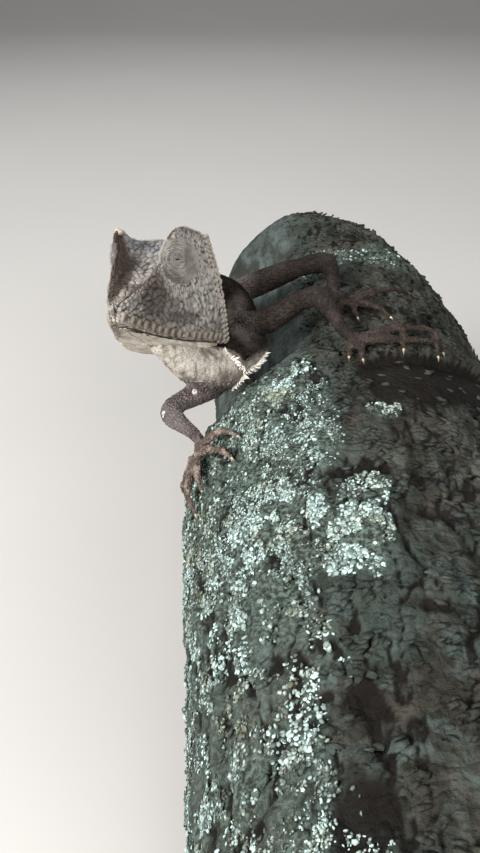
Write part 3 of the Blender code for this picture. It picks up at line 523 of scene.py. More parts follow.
# %% Lay the bark
BARK_ROWS, BARK_SIDES = 336, 290
along_rows = np.linspace(BRANCH_NEAR, BRANCH_FAR, BARK_ROWS)
round_share = np.linspace(-1, 1, BARK_SIDES, endpoint=False)
round_angle = 100.0 + 180.0 * (round_share - 0.12 * np.sin(np.pi * round_share))
bark_rings, bark_shares = bark_surface(*np.meshgrid(round_angle, along_rows))
lay_tube("bark", bark_rings, "branch", BARK, "bark", **bark_shares)

# %% [markdown]
# Lichen crust is thousands of tiny lobed cushions, a quarter to nearly one millimetre across, pale mint
# where they catch the light and dark between. Bump alone looks painted on from the side, so each
# cushion is a small closed mesh of twenty triangles. They are joined into a few pieces: the
# template's points are turned, scaled and moved for every cushion at once. Each cushion has a patch on
# a flat map of the bark, at the place where it is rooted, so that baked colours stay apart.

# %% Repeats of one small shape
def copied_faces(faces, count, per):
    """The faces of every copy of a shape that has a number of points."""
    shift = np.arange(count)[:, None, None] * per
    return [(group[None] + shift).reshape(-1, group.shape[1]) for group in faces]


def repeated(template, faces, places, axes, sizes):
    """Every copy's points: template times size, turned by the copy's three axes, plus its place."""
    points = np.einsum("nki,nij->nkj", template[None] * sizes[:, None, :], axes) + places[:, None]
    return points.reshape(-1, 3), copied_faces(faces, len(places), len(template))


def patch_spots(template, roots, width=0.003):
    """The flat map: each copy's template seen from above, shrunk to a patch at its root's place."""
    flat = template[:, :2] / np.abs(template[:, :2]).max() * width / 2
    flat = flat + template[:, 2:3] * np.array([[width * 0.05, width * 0.05]])
    return np.clip(roots[:, None] + flat[None], 0.0, 1.0).reshape(-1, 2)


def frames(outward, along):
    """Three directions for each copy: along, across and outward, square to each other."""
    outward = np.broadcast_to(unit(outward), np.shape(along))
    along = unit(along - outward * (along * outward).sum(-1, keepdims=True))
    return np.stack([along, np.cross(outward, along), outward], 1)


def cushion(rings, sides):
    """A low closed dome: rings (radius, height), first a point below, last a point on top."""
    turn = np.linspace(0, 2 * np.pi, sides, endpoint=False)
    body = np.array([[(r * np.cos(t), r * np.sin(t), h) for t in turn] for r, h in rings[1:-1]])
    points = np.vstack([body.reshape(-1, 3), [(0, 0, rings[0][1])], [(0, 0, rings[-1][1])]])
    return points, tube_faces(len(rings) - 2, sides)


LOBE, LOBE_FACES = cushion(((0, -0.5), (0.75, -0.2), (1.0, 0.35), (0, 0.6)), 5)


def sown(rng, count, tries, low, high, chance, tilt):
    """Random places on the bark, kept with a chance that its shares there give.

    Low and high are each an angle and a place along. Gives places, outward directions tilted at
    random, shares, and spots on the bark's flat map.
    """
    angle = rng.uniform(low[0], high[0], count * tries)
    along = rng.uniform(low[1], high[1], count * tries)
    places, shares = bark_surface(angle, along)
    kept = np.flatnonzero(rng.random(len(angle)) < chance(places, shares))[:count]
    angle, along = angle[kept], along[kept]
    outward = round_branch(angle, along * 0, np.ones(len(kept))) + rng.normal(0, tilt, (len(kept), 3))
    roots = np.stack([angle % 360.0 / 360.0, (along - BRANCH_NEAR) / BRANCH_LENGTH], -1)
    kept_shares = {key: share[kept] for key, share in shares.items()}
    return places[kept], outward, kept_shares, patch_spots(LOBE, roots)


# %% Lichen finish and crust
def lichen_finish():
    """Pale mint lobes, greener or greyer in places, with darker feet."""
    f = Finish("lichen")
    tone = f.value("tone")
    grey = f.blend(tone, (0.075, 0.075, 0.050), (0.30, 0.31, 0.22))
    colour = f.layers(
        (0.078, 0.098, 0.084),
        (f.step(tone, 0.25, 1.0), (0.54, 0.71, 0.69)),
        (f.patches(7.0, 3.0, 0.46, 0.66) * 0.6, grey),
        (f.step(f.value("height"), 0.50, -0.15) * 0.9, (0.024, 0.027, 0.019)))
    return f.done(colour, 0.9, f.bump(f.noise(0.3, 4.0), 0.5, 0.12), Specular_IOR_Level=0.15)


LICHEN = lichen_finish()


def lichen_chance(places, shares):
    """Clumps inside the crust, away from cracks."""
    clumps = ease((cloud(places, 2.0, 91, 3) + 0.14) / 0.3)
    return shares["crust"] ** 1.5 * clumps * (1 - 0.8 * shares["deep"])


def sow_lichen(name, count, low, high, size, seed):
    """A piece of crust: a lobe at each place, turned at random, larger in some clumps than in others."""
    rng = np.random.default_rng(seed)
    places, outward, _, spots = sown(rng, count, 9, low, high, lichen_chance, 0.38)
    axes = frames(outward, rng.normal(0, 1, places.shape))
    wide = rng.uniform(*size, len(places)) * (0.7 + 0.5 * ease((cloud(places, 6.0, 95) + 0.4) / 0.8))
    deep = wide * rng.uniform(0.5, 1.0, len(places))
    tall = wide * rng.uniform(0.7, 1.3, len(places))
    points, faces = repeated(LOBE, LOBE_FACES, places, axes, np.stack([wide, deep, tall], -1))
    tone = np.clip(rng.beta(2.0, 2.2, len(places)) + 0.25 * cloud(places, 5.0, 97), 0, 1)
    lay_mesh(name, points, faces, LICHEN, "bark", spots=spots, tone=np.repeat(tone, len(LOBE)),
             height=np.tile(LOBE[:, 2], len(places)))


sow_lichen("lichen_ridge", 9600, (84.0, -40.0), (200.0, -6.0), (0.12, 0.34), 5)
sow_lichen("lichen_flank", 9600, (84.0, -64.0), (205.0, -36.0), (0.13, 0.36), 6)
sow_lichen("lichen_near", 9600, (60.0, -88.0), (205.0, -58.0), (0.12, 0.32), 7)
sow_lichen("lichen_round", 9000, (-80.0, -84.0), (270.0, 70.0), (0.18, 0.45), 8)

# %% [markdown]
# Loose flakes give the outer bark its torn edges: low many-sided chips, longer around the branch than
# along it, which lie almost flat and are sown where there is neither crust nor worn wood.

# %% Loose flakes of bark
def flake_chance(places, shares):
    """Clumps where crust, worn wood and cracks are scarce."""
    clumps = ease((cloud(places, 5.0, 93, 3) + 0.25) / 0.4)
    return clumps * (1 - shares["crust"]) * (1 - shares["bare"]) * (1 - shares["deep"])


flake_rng = np.random.default_rng(9)
places, outward, shares, spots = sown(flake_rng, 7000, 4, (-80.0, -86.0), (150.0, 72.0), flake_chance, 0.20)
around = np.cross(outward, (0.0, 1.0, 0.0)) + flake_rng.normal(0, 0.45, places.shape)
wide = flake_rng.uniform(0.35, 1.3, len(places))
deep = wide * flake_rng.uniform(0.3, 0.7, len(places))
tall = flake_rng.uniform(0.22, 0.5, len(places))
points, faces = repeated(LOBE, LOBE_FACES, places, frames(outward, around), np.stack([wide, deep, tall], -1))
shares.update(deep=np.zeros(len(places)), tone=flake_rng.random(len(places)))
lay_mesh("bark_flakes", points, faces, BARK, "bark", smooth=False, spots=spots,
         **{key: np.repeat(share, len(LOBE)) for key, share in shares.items()})

# %% [markdown]
# The head is the heart of the model: a dished forehead between two sharp brow rims, a domed cheek, and
# a casque whose beaded back edge overhangs the nape. Its outline at one station is a smooth curve
# through eleven corners, and a table says how those corners move from the snout to the back. Each big
# plate of the real skin is a low pillow with a groove around it, which the plate field gives: the
# point is pushed in along its normal, least on a plate's top and most in a groove.

# %% Head: its frame and its tables
HEAD_LENGTH = 25.0
HEAD_ORIGIN = np.array([-42.3, -11.3, 36.5])
YAW, PITCH, ROLL = math.radians(17.5), math.radians(24.0), math.radians(9.0)
FORWARD = np.array([-math.sin(YAW) * math.cos(PITCH), -math.cos(YAW) * math.cos(PITCH), math.sin(PITCH)])
LEVEL = np.array([math.cos(YAW), -math.sin(YAW), 0.0])
LEFT = LEVEL * math.cos(ROLL) + np.cross(FORWARD, LEVEL) * math.sin(ROLL)
UP = np.cross(FORWARD, LEFT)
HEAD_AXES = np.array([FORWARD, LEFT, UP])
SIDES = {"left": 1, "right": -1}
# Head sizes are shares of its length: x forward from the snout's tip, y left, z up.
# Columns: back, lip y, lip z, cheek y, cheek z, brow rim y, brow rim z, forehead foot y, forehead z.
HEAD_STATIONS = np.array((
    (0.01, 0.050, 0.060, 0.055, 0.12, 0.055, 0.180, 0.028, 0.180),
    (0.06, 0.078, 0.045, 0.084, 0.13, 0.088, 0.215, 0.040, 0.205),
    (0.14, 0.105, 0.018, 0.112, 0.15, 0.114, 0.262, 0.052, 0.235),
    (0.24, 0.140, -0.010, 0.145, 0.17, 0.150, 0.335, 0.070, 0.270),
    (0.36, 0.184, -0.038, 0.178, 0.19, 0.190, 0.450, 0.095, 0.308),
    (0.48, 0.234, -0.060, 0.215, 0.21, 0.226, 0.620, 0.125, 0.362),
    (0.60, 0.286, -0.078, 0.256, 0.23, 0.246, 0.665, 0.145, 0.455),
    (0.74, 0.338, -0.092, 0.304, 0.23, 0.266, 0.660, 0.160, 0.565),
    (0.86, 0.372, -0.102, 0.340, 0.23, 0.286, 0.645, 0.175, 0.608),
    (0.94, 0.384, -0.106, 0.355, 0.23, 0.300, 0.618, 0.185, 0.598),
))
# The casque's back closes in rings: how far back, and how large beside the last station.
HEAD_BACK = np.array(((0.94, 1.0), (0.99, 1.04), (1.025, 1.05), (1.04, 0.98), (1.02, 0.80), (1.00, 0.55),
                      (0.99, 0.30)))
HEAD_BACK_CENTRE = 0.28
# Where the eleven corners lie along a section: lip at 2.2, cheek at 3.8, brow rim at 6.8, middle at 9.6.
SECTION_KNOTS = np.array([0, 1.2, 2.0, 2.4, 3.8, 5.4, 6.4, 6.8, 7.2, 8.4, 9.6])
CHEEK_START, RIM_AT, SECTION_END = 2.6, 6.85, 9.6


def to_world(points):
    """Snout tip plus head length times (x forward + y left + z up)."""
    return HEAD_ORIGIN + HEAD_LENGTH * (np.asarray(points, float) @ HEAD_AXES)


def head_rows(low, high, count):
    """Rows of the table at even steps from one distance back to another."""
    return smooth_curve(HEAD_STATIONS[:, 0], HEAD_STATIONS, np.linspace(low, high, count))


def head_section(row, at):
    """Left half of the head's outline at a station: a smooth curve through its eleven corners."""
    back, lip_y, lip_z, cheek_y, cheek_z, rim_y, rim_z, foot_y, foot_z = row
    corners = np.array([
        (0.0, lip_z + 0.005), (lip_y * 0.6, lip_z + 0.003), (lip_y * 0.97, lip_z), (lip_y, lip_z + 0.035),
        (cheek_y, cheek_z), (cheek_y * 0.4 + rim_y * 0.6 - 0.012, rim_z * 0.75), (rim_y, rim_z - 0.035),
        (rim_y - 0.008, rim_z), (rim_y - 0.035, rim_z - 0.012), (foot_y, foot_z + (rim_z - foot_z) * 0.15),
        (0.0, foot_z),
    ])
    return np.column_stack([np.full(len(at), -back), smooth_curve(SECTION_KNOTS, corners, at)])


def casque_ring(half, back, size):
    """A half outline moved to a distance back and scaled about the casque's centre."""
    return np.column_stack([np.full(len(half), -back), half[:, 1] * size,
                            (half[:, 2] - HEAD_BACK_CENTRE) * size + HEAD_BACK_CENTRE])


def casque_lean(points):
    """The top of the casque's back moves forward: 0.11 times two steps, one in height, one in depth."""
    leaned = points.copy()
    leaned[..., 0] += 0.11 * ease((points[..., 2] - 0.42) / 0.22) * ease((-points[..., 0] - 0.80) / 0.2)
    return leaned


# %% Head: one grid from snout to nape
HALF_COUNT, STATION_COUNT, BACK_COUNT, TIP_COUNT = 152, 236, 62, 9
TIP_CENTRE = 0.11
half_at = np.linspace(0, SECTION_END, HALF_COUNT)
halves = [head_section(row, half_at) for row in head_rows(0.01, 0.94, STATION_COUNT)]
tip_turn = np.linspace(0.92, 0, TIP_COUNT, endpoint=False)
tips = [halves[0] * [0, 1, 1] + [0.021 * t - 0.01, 0, -TIP_CENTRE] for t in tip_turn]
tips = [tip * np.array([1, s, s]) + [0, 0, TIP_CENTRE] for tip, s in zip(tips, np.sqrt(1 - tip_turn**2))]
back_at = np.linspace(0, len(HEAD_BACK) - 1, BACK_COUNT + 1)[1:]
backs = smooth_curve(np.arange(len(HEAD_BACK)), HEAD_BACK, back_at)
half_grid = casque_lean(np.array(tips + halves + [casque_ring(halves[-1], *row) for row in backs]))
head_grid = np.concatenate([half_grid, half_grid[:, -2:0:-1] * (1, -1, 1)], 1)
head_rings = to_world(head_grid)
section_at = np.tile(np.concatenate([half_at, half_at[-2:0:-1]]), (len(head_grid), 1))
head_back, head_up = -head_grid[..., 0], head_grid[..., 2]
head_rear = np.zeros(head_back.shape)
head_rear[-BACK_COUNT:] = np.linspace(0, 1, BACK_COUNT)[:, None]


def grid_normals(rings):
    """Directions square to a closed grid, outwards: the cross product of its steps around and along."""
    around = np.roll(rings, -1, 1) - np.roll(rings, 1, 1)
    normals = unit(np.cross(around, np.gradient(rings, axis=0)))
    return normals * np.sign(((rings - rings.mean(1, keepdims=True)) * normals).sum(-1).mean())


# %% Head: plates of every size
PLATE, SMALL_PLATE = 1.12, 0.72


def head_plates(points, local, at):
    """Depth in millimetres below the outline, the point's height in its plate, and the plate's tone.

    Plates are small round the eye, on the brow rim and at the snout's tip, and large elsewhere.
    """
    wander = points + 0.35 * drift(points, (2.0, 2.0, 2.0), 101)
    big, big_tone = plates(wander, PLATE, 105, 0.75)
    small, small_tone = plates(wander, SMALL_PLATE, 109, 0.75)
    eye = np.linalg.norm((local - np.array([-0.56, 0.0, 0.45])) * (0.8, 0, 1), axis=-1)
    near_eye = ease((0.25 - eye) / 0.05) * band(at, 3.2, 6.9, 0.8, 0.4)
    snout_tip = ease((0.10 + local[..., 0]) / 0.06)
    fine = np.clip(np.maximum(near_eye, band(at, 6.0, 7.6, 0.4, 0.3)) + snout_tip, 0, 1)
    bold = 0.78 * ease((at - 1.6) / 0.8) * (1 - 0.4 * ease((at - 7.4) / 0.8))
    height = plate_height(big, 0.55) * (1 - fine) + plate_height(small, 0.50) * fine
    rise = 0.16 * (big_tone - 0.5) * ease(big / 0.4) * (1 - fine)
    swell = 0.30 * cloud(points, 3.6, 111, 2) * ease((at - 2.4) / 1.0)
    depth = (1 - height) * (bold * (1 - fine) + 0.30 * fine) - rise - 0.05 - swell
    return depth, height, np.where(fine > 0.5, small_tone, big_tone)


head_depth, head_height, head_tone = head_plates(head_rings, head_grid, section_at)
head_skin = head_rings - grid_normals(head_rings) * head_depth[..., None]
print("head plates reach", head_depth.min().round(2), "to", head_depth.max().round(2), "mm under the outline")

# %% [markdown]
# The head's colours follow its forms, so each form gets a share from 0 to 1: the trough inside the far
# brow, darkened in dark brown as painted shade; the saddle of the forehead, tinted bluish as painted sky
# light; the throat side, two dusky patches on the snout and under the eye, the light dome behind it, and the
# casque's back, darkened as painted shade. Their borders are ragged, which a cloud added to the distance
# gives.

# %% Head: where its colours lie
# Painted shade: this share darkens the inner wall of each brow rim, from the rim towards the middle of the
# forehead.
trough = band(section_at, 6.75, 9.15, 0.2, 0.6) * band(head_back, 0.02, 0.66, 0.05, 0.10)
# Painted sky light: the upward-facing saddle of the forehead is tinted bluish.
saddle = ease((section_at - 7.2) / 0.5) * ease((head_back - 0.60) / 0.10) * (1 - trough)
ragged = 0.10 * cloud(head_rings, 2.4, 113, 3)
on_snout = ease((0.17 - np.hypot(head_back - 0.27, (head_up - 0.19) * 1.2) + ragged) / 0.07)
under_eye = ease((0.13 - np.hypot((head_back - 0.52) * 0.6, head_up - 0.03) + ragged) / 0.06)
dusky = np.maximum(on_snout, under_eye) * ease((section_at - CHEEK_START) / 0.5)
behind = ease((head_back - 0.60 + 0.35 * ragged) / 0.10) * band(section_at, CHEEK_START, 6.6, 0.6, 0.5)
dome = ease((0.27 - np.hypot(head_back - 0.54, head_up - 0.44) + ragged) / 0.06)
light = np.maximum(behind, dome) * (1 - dusky) * ease((6.9 - section_at) / 0.3)
head_low = ease((2.2 - section_at) / 0.5)
# Painted shade: the casque's back, which overhangs the nape, is darkened.
rear_share = ease((head_rear - 0.40) / 0.18)


# %% Head finish
def skin_marks(f, base, size, pale, dark):
    """Mottling shared by the whole skin: soft clouds, then specks of dark and pale."""
    return f.layers(base, (f.patches(size, 4.0, 0.42, 0.66), dark),
                    (f.patches(size * 0.45, 5.0, 0.54, 0.74) * 0.7, pale))


def head_finish():
    """Grey-beige plates with dark grooves; painted shade in dark brown inside the brow rims and on the
    casque's back, and a bluish tint of painted sky light on the forehead between the brows.
    """
    f = Finish("head plates")
    tone = f.value("tone")
    plain = f.blend(tone, (0.175, 0.156, 0.140), (0.300, 0.280, 0.254))
    # Painted shade, with mottling: dark brown for the casque's back.
    nape = f.blend(f.patches(1.7, 3.0, 0.4, 0.6), (0.050, 0.033, 0.026), (0.115, 0.086, 0.070))
    colour = f.layers(
        skin_marks(f, plain, 6.5, (0.36, 0.345, 0.32), (0.110, 0.090, 0.078)),
        (f.value("dusky") * 0.75, f.blend(tone, (0.045, 0.035, 0.030), (0.098, 0.082, 0.070))),
        (f.value("light") * 0.75, f.blend(tone, (0.31, 0.294, 0.262), (0.47, 0.452, 0.412))),
        # Painted sky light: a bluish tint on the forehead's saddle.
        (f.value("saddle") * 0.8, f.blend(tone, (0.145, 0.156, 0.168), (0.205, 0.220, 0.238))),
        (f.value("low") * 0.8, (0.40, 0.36, 0.30)),
        (f.value("rear"), nape),
        # Painted shade in dark brown inside the brow rims.
        (f.value("trough") * 0.96, f.blend(f.noise(0.8), (0.022, 0.012, 0.008), (0.07, 0.045, 0.032))),
        (f.step(f.value("height") + f.noise(0.5, 3.0) * 0.2, 0.98, 0.38) * 0.93, (0.028, 0.021, 0.016)),
        (f.patches(0.33, 4.0, 0.60, 0.74) * 0.35, (0.05, 0.036, 0.028)))
    height = f.noise(0.28, 5.0) * 0.7 + f.step(f.cells(0.45), 0.0, 0.2) * 0.4
    roughness = f.value("height") * -0.12 + 0.72
    return f.done(colour, roughness, f.bump(height, 0.5, 0.10), Specular_IOR_Level=0.35)


lay_tube("head_skin", head_skin, "head", head_finish(), "head", tone=head_tone, height=head_height,
         trough=trough, saddle=saddle, low=head_low, rear=rear_share, dusky=dusky, light=light)

# %% [markdown]
# Under the lip the jaw and throat are cream, with long pale shields like paving. The jaw is a tube whose
# ring is flat on top and round below. It uses the same plate field, with its cells drawn out from front
# to back.

# %% Jaw
# Columns: back, half width, lowest z.
JAW_STATIONS = np.array(((0.09, 0.030, 0.022), (0.13, 0.050, 0.006), (0.20, 0.080, -0.016),
                         (0.32, 0.142, -0.055), (0.45, 0.198, -0.098), (0.60, 0.254, -0.148),
                         (0.75, 0.306, -0.186), (0.88, 0.334, -0.200), (0.95, 0.336, -0.185)))
JAW_COUNT, JAW_ROUND, JAW_FLAT = 130, 110, 34
jaw_rows = smooth_curve(JAW_STATIONS[:, 0], JAW_STATIONS, np.linspace(0.09, 0.95, JAW_COUNT))
jaw_back, jaw_wide, jaw_bottom = np.split(jaw_rows, 3, 1)
jaw_lip = smooth_curve(HEAD_STATIONS[:, 0], HEAD_STATIONS[:, 2], jaw_rows[:, 0])[:, None] - 0.010
jaw_turn = np.linspace(0, np.pi, JAW_ROUND)
jaw_y = jaw_wide * np.concatenate([np.cos(jaw_turn), np.linspace(-0.92, 0.92, JAW_FLAT)])
jaw_z = jaw_lip - 0.012 + (jaw_bottom - jaw_lip + 0.012) * np.sin(jaw_turn) ** 0.7
jaw_z = np.hstack([jaw_z, np.tile(jaw_lip, JAW_FLAT)])
jaw_local = np.stack([np.broadcast_to(-jaw_back, jaw_y.shape), jaw_y, jaw_z], -1)
jaw_rings = to_world(jaw_local)


def pale_finish():
    """Cream shields with thin brown seams and a few grey-brown flecks."""
    f = Finish("pale shields")
    plain = f.blend(f.value("tone"), (0.46, 0.415, 0.345), (0.66, 0.61, 0.53))
    seams = f.step(f.value("height") + f.noise(0.6, 3.0) * 0.2, 0.66, 0.16) * 0.85
    colour = f.layers(skin_marks(f, plain, 3.4, (0.66, 0.63, 0.56), (0.29, 0.245, 0.19)),
                      (seams, (0.10, 0.072, 0.052)))
    return f.done(colour, 0.62, f.bump(f.noise(0.3, 4.0), 0.4, 0.08), Specular_IOR_Level=0.35)


PALE_SHIELDS = pale_finish()
drawn_out = jaw_local * HEAD_LENGTH * (0.62, 1.0, 1.0) + 0.3 * cloud(jaw_rings, 1.6, 121)[..., None]
jaw_edge, jaw_tone = plates(drawn_out, 1.35, 123)
jaw_height = plate_height(jaw_edge, 0.42)
jaw_in = unit(jaw_rings.mean(1, keepdims=True) - jaw_rings)
jaw_skin = jaw_rings + jaw_in * (0.02 + 0.48 * (1 - jaw_height))[..., None]
lay_tube("jaw_skin", jaw_skin, "lower_jaw", PALE_SHIELDS, "pale", {"tone": (0.5, 0.5), "height": (1, 1)},
         tone=jaw_tone, height=jaw_height)

# %% [markdown]
# Each eye is almost shut. The two lids make one broad dome on the wall of the skull. It is covered in
# rings of tiny beads, with a few deeper folds between them. The rings lie around the slit, which looks
# forwards, so the grid's pole lies there too. Beads are a wave both around the pole and away from it,
# and their number grows from ring to ring. A thin glossy lens shows in the slit. The right dome is
# lower, because it doesn't show past the brow in the photo.

# %% Eyes
EYE_CENTRE = np.array([-0.540, 0.222, 0.445])
EYE_RADII = {"left": np.array([5.2, 3.85, 1.75]), "right": np.array([5.2, 3.85, 0.75])}
EYE_LOOK = math.asin(0.46)
SLIT_POLE = np.array([-math.sin(EYE_LOOK), 0.0, math.cos(EYE_LOOK)])
LENS_SIZE, LENS_INWARD = np.array([0.85, 0.20, 0.26]), np.array([0, 0, 0.45])
RINGS_PER_RADIAN = 12.0
LID_FOLDS = ((0.24, 0.8), (0.44, 0.9), (0.66, 0.7), (0.90, 1.0), (1.15, 0.7))


def eye_axes(side):
    """Backward, up and out of the skull's wall at the eye, and the eye's centre."""
    wall = unit(FORWARD * 0.26 + LEFT * side)
    return np.array([-unit(FORWARD - wall * (FORWARD @ wall)), UP, wall]), to_world(EYE_CENTRE * (1, side, 1))


def eye_dome(side, radii):
    """Half of an ellipsoid on the skull's wall, and its values. Its grid is a ball's, with the pole turned
    forwards from the wall's own direction by the look angle; beads push out, slit and folds push in."""
    down = np.linspace(0.012, 2.45, 200)[:, None]
    turn = np.linspace(0, 2 * np.pi, 236, endpoint=False)[None]
    ahead, above, away = np.sin(down) * np.cos(turn), np.sin(down) * np.sin(turn), np.cos(down) + 0 * turn
    ball = np.stack([ahead * math.cos(EYE_LOOK) - away * math.sin(EYE_LOOK), above,
                     ahead * math.sin(EYE_LOOK) + away * math.cos(EYE_LOOK)], -1)
    wobble = 0.19 * cloud(ball * 3, 1.1, 129 + (side > 0), 4)
    ring = (down + wobble) * RINGS_PER_RADIAN
    count = np.round(6 + 5.6 * np.floor(ring))
    around = np.abs(np.cos(turn * count / 2 + np.floor(ring) * 0.8)) ** 0.5
    beads = np.sin(np.pi * (ring % 1.0)) ** 0.6 * around
    slit = hill(ahead, 0.20) ** 2 * hill(above - 0.5 * ahead**2, 0.034) * (away > 0)
    fold = sum(share * hill(ring / RINGS_PER_RADIAN - place, 0.035) for place, share in LID_FOLDS)
    swell = 0.04 * cloud(ball * 3, 1.0, 131 + (side > 0), 2)
    depth = 0.24 * (beads - 0.8) - 0.45 * slit - 0.11 * fold + 0.26 * cloud(ball * 3, 0.7, 133, 3)
    offset = ball * (1 + swell[..., None]) * radii + unit(ball / radii) * depth[..., None]
    offset[..., 2] = np.maximum(offset[..., 2], -0.5)
    return offset, {"height": beads, "fold": np.clip(fold, 0, 1), "slit": slit}


def lid_finish():
    """Warm grey beads with dark seams, painted shade in the folds, and a dark slit."""
    f = Finish("eyelids")
    seams = f.step(f.value("height") + f.noise(0.5, 3.0) * 0.2, 0.66, 0.20) * 0.65
    colour = f.layers(
        skin_marks(f, (0.295, 0.280, 0.255), 2.4, (0.43, 0.415, 0.385), (0.175, 0.157, 0.140)),
        # Painted shade: the folds between the rings of beads are darkened.
        (f.value("fold") * 0.38, (0.085, 0.068, 0.056)),
        (seams, (0.070, 0.056, 0.047)),
        (f.step(f.value("slit"), 0.15, 0.7) * 0.85, (0.020, 0.015, 0.012)))
    return f.done(colour, 0.68, f.bump(f.noise(0.25, 4.0), 0.4, 0.06), Specular_IOR_Level=0.35)


def lens_finish():
    """A wet brown eye: smooth, almost black, with a thin coat."""
    f = Finish("eye lens")
    colour = f.blend(f.noise(0.5, 3.0), (0.010, 0.006, 0.004), (0.055, 0.030, 0.016))
    return f.done(colour, 0.08, Coat_Weight=1.0)


EYELIDS, LENS = lid_finish(), lens_finish()
ball, ball_faces = cushion(((0, -1), (0.6, -0.8), (0.95, -0.3), (0.95, 0.3), (0.6, 0.8), (0, 1)), 20)
for name, side in SIDES.items():
    axes, centre = eye_axes(side)
    offset, lid_values = eye_dome(side, EYE_RADII[name])
    lay_tube(f"lids_{name}", centre + offset @ axes, f"eye_{name}", EYELIDS, "eye",
             {"height": (1, 1), "slit": (1, 0)}, **lid_values)
    lens = ball * LENS_SIZE + SLIT_POLE * EYE_RADII[name] - LENS_INWARD
    lay_mesh(f"lens_{name}", centre + lens @ axes, ball_faces, LENS, "eye")

# %% [markdown]
# Lip shields and the beads of the brows and of the casque's edge stand in rows along the edges of the
# head, and give it its toothed outline. Each is a rounded pillow. A row is laid out at even steps along a
# line, with the pillow's long side along the line and its top facing outwards, and its size varied a
# little. The height of each point in its pillow is kept, because the real shields have pale borders.

# %% Rows of shields
PILLOW, PILLOW_FACES = cushion(
    ((0, -0.7), (0.80, -0.5), (1.0, 0.0), (0.94, 0.35), (0.72, 0.72), (0.38, 0.93), (0, 1.0)), 14)
square = np.abs(PILLOW[:, :2]).max(1) + 1e-9
PILLOW[:, :2] *= (np.linalg.norm(PILLOW[:, :2], axis=1) / square)[:, None] ** 0.55
LIP_AT = 2.38
# Rows of the casque's edge: back, size beside the last station, pitch, pillow sizes, how deep it is sunk.
EDGE_ROWS = ((0.962, 1.018, 0.92, (0.52, 0.52, 0.26), 0.12), (1.004, 1.045, 0.84, (0.47, 0.50, 0.38), 0.16),
             (1.034, 0.99, 0.90, (0.50, 0.42, 0.26), 0.10))


def shield_row(places, runs, outward, sizes, seed):
    """Pillows at places, long side along the runs, with varied sizes: points, faces, height and tone."""
    rng = np.random.default_rng(seed)
    sizes = np.broadcast_to(np.asarray(sizes, float), places.shape) * rng.uniform(0.84, 1.12, places.shape)
    points, faces = repeated(PILLOW, PILLOW_FACES, places, frames(outward, runs), sizes)
    return points, faces, np.tile(PILLOW[:, 2], len(places)), np.repeat(rng.random(len(places)), len(PILLOW))


def head_line(at, low, high):
    """A line along the head at one place of its section, from one distance back to another."""
    return casque_lean(np.array([head_section(row, np.array([at]))[0] for row in head_rows(low, high, 90)]))


def lay_rows(name, rows, material, slot, lift=0.0):
    """One piece from rows of shields or cones; lift is added to the height that the finish reads."""
    points, faces, height, tone = joined(rows)
    lay_mesh(name, points, faces, material, slot, height=height + lift, tone=tone)


EDGE_FROM, EDGE_TO = 1.75, 9.3
lip_rows, rim_rows = [], []
edge_half = halves[-1][int(EDGE_FROM / SECTION_END * HALF_COUNT):int(EDGE_TO / SECTION_END * HALF_COUNT)]
middle = to_world((-0.9, 0.0, HEAD_BACK_CENTRE))
for side in SIDES.values():
    flip = np.array([1, side, 1])
    sideways = LEFT * side
    places, runs = spread(to_world(head_line(LIP_AT, 0.015, 0.93) * flip), 1.62)
    lip_rows.append(shield_row(places - sideways * 0.36, runs, sideways - UP * 0.30, (0.88, 0.76, 0.60), 141))
    places, runs = spread(to_world(head_line(RIM_AT, 0.62, 0.90) * flip), 0.80)
    rim_rows.append(shield_row(places - UP * 0.16, runs, UP + sideways * 0.5, (0.44, 0.36, 0.24), 145))
    for back, size, pitch, sizes, sink in EDGE_ROWS:
        places, runs = spread(to_world(casque_lean(casque_ring(edge_half, back, size)) * flip), pitch)
        outward = unit(places - middle) - FORWARD * (back - 1.0) * 7.0
        rim_rows.append(shield_row(places - outward * sink, runs, outward, sizes, 147 + int(back * 100)))


def shield_finish(name, centre, border, speck):
    """One colour on a shield's top, another along its border, with fine specks."""
    f = Finish(name)
    near_border = f.step(f.value("height") + f.noise(0.7, 4.0) * 0.35 - 0.17, 0.90, 0.60)
    colour = f.layers(
        centre,
        (f.value("tone") * 0.5, speck),
        (near_border, border),
        (f.step(f.value("height"), -0.10, -0.50), (0.045, 0.030, 0.022)),
        (f.patches(0.4, 4.0, 0.56, 0.72) * 0.5, speck))
    return f.done(colour, 0.6, f.bump(f.noise(0.25, 4.0), 0.45, 0.07), Specular_IOR_Level=0.4)


LIP_SHIELDS = shield_finish("lip shields", (0.088, 0.066, 0.052), (0.235, 0.202, 0.162), (0.15, 0.125, 0.102))
RIM_BEADS = shield_finish("rim beads", (0.42, 0.385, 0.340), (0.33, 0.290, 0.250), (0.28, 0.245, 0.215))
lay_rows("lip_shields", lip_rows, LIP_SHIELDS, "head")
lay_rows("rim_beads", rim_rows, RIM_BEADS, "head")

# %% [markdown]
# Neck, trunk, tail, throat, limbs and digits are one skin, so that no seam shows. Each is first a tube
# of oval rings along a smooth line through a table of places and sizes. The tubes are joined, then
# Blender's voxel remesh melts them into one closed surface, and a few rounds of smoothing give the
# webs of skin at shoulder and hip. Sculpting by hand would do it too, but could not be rerun.

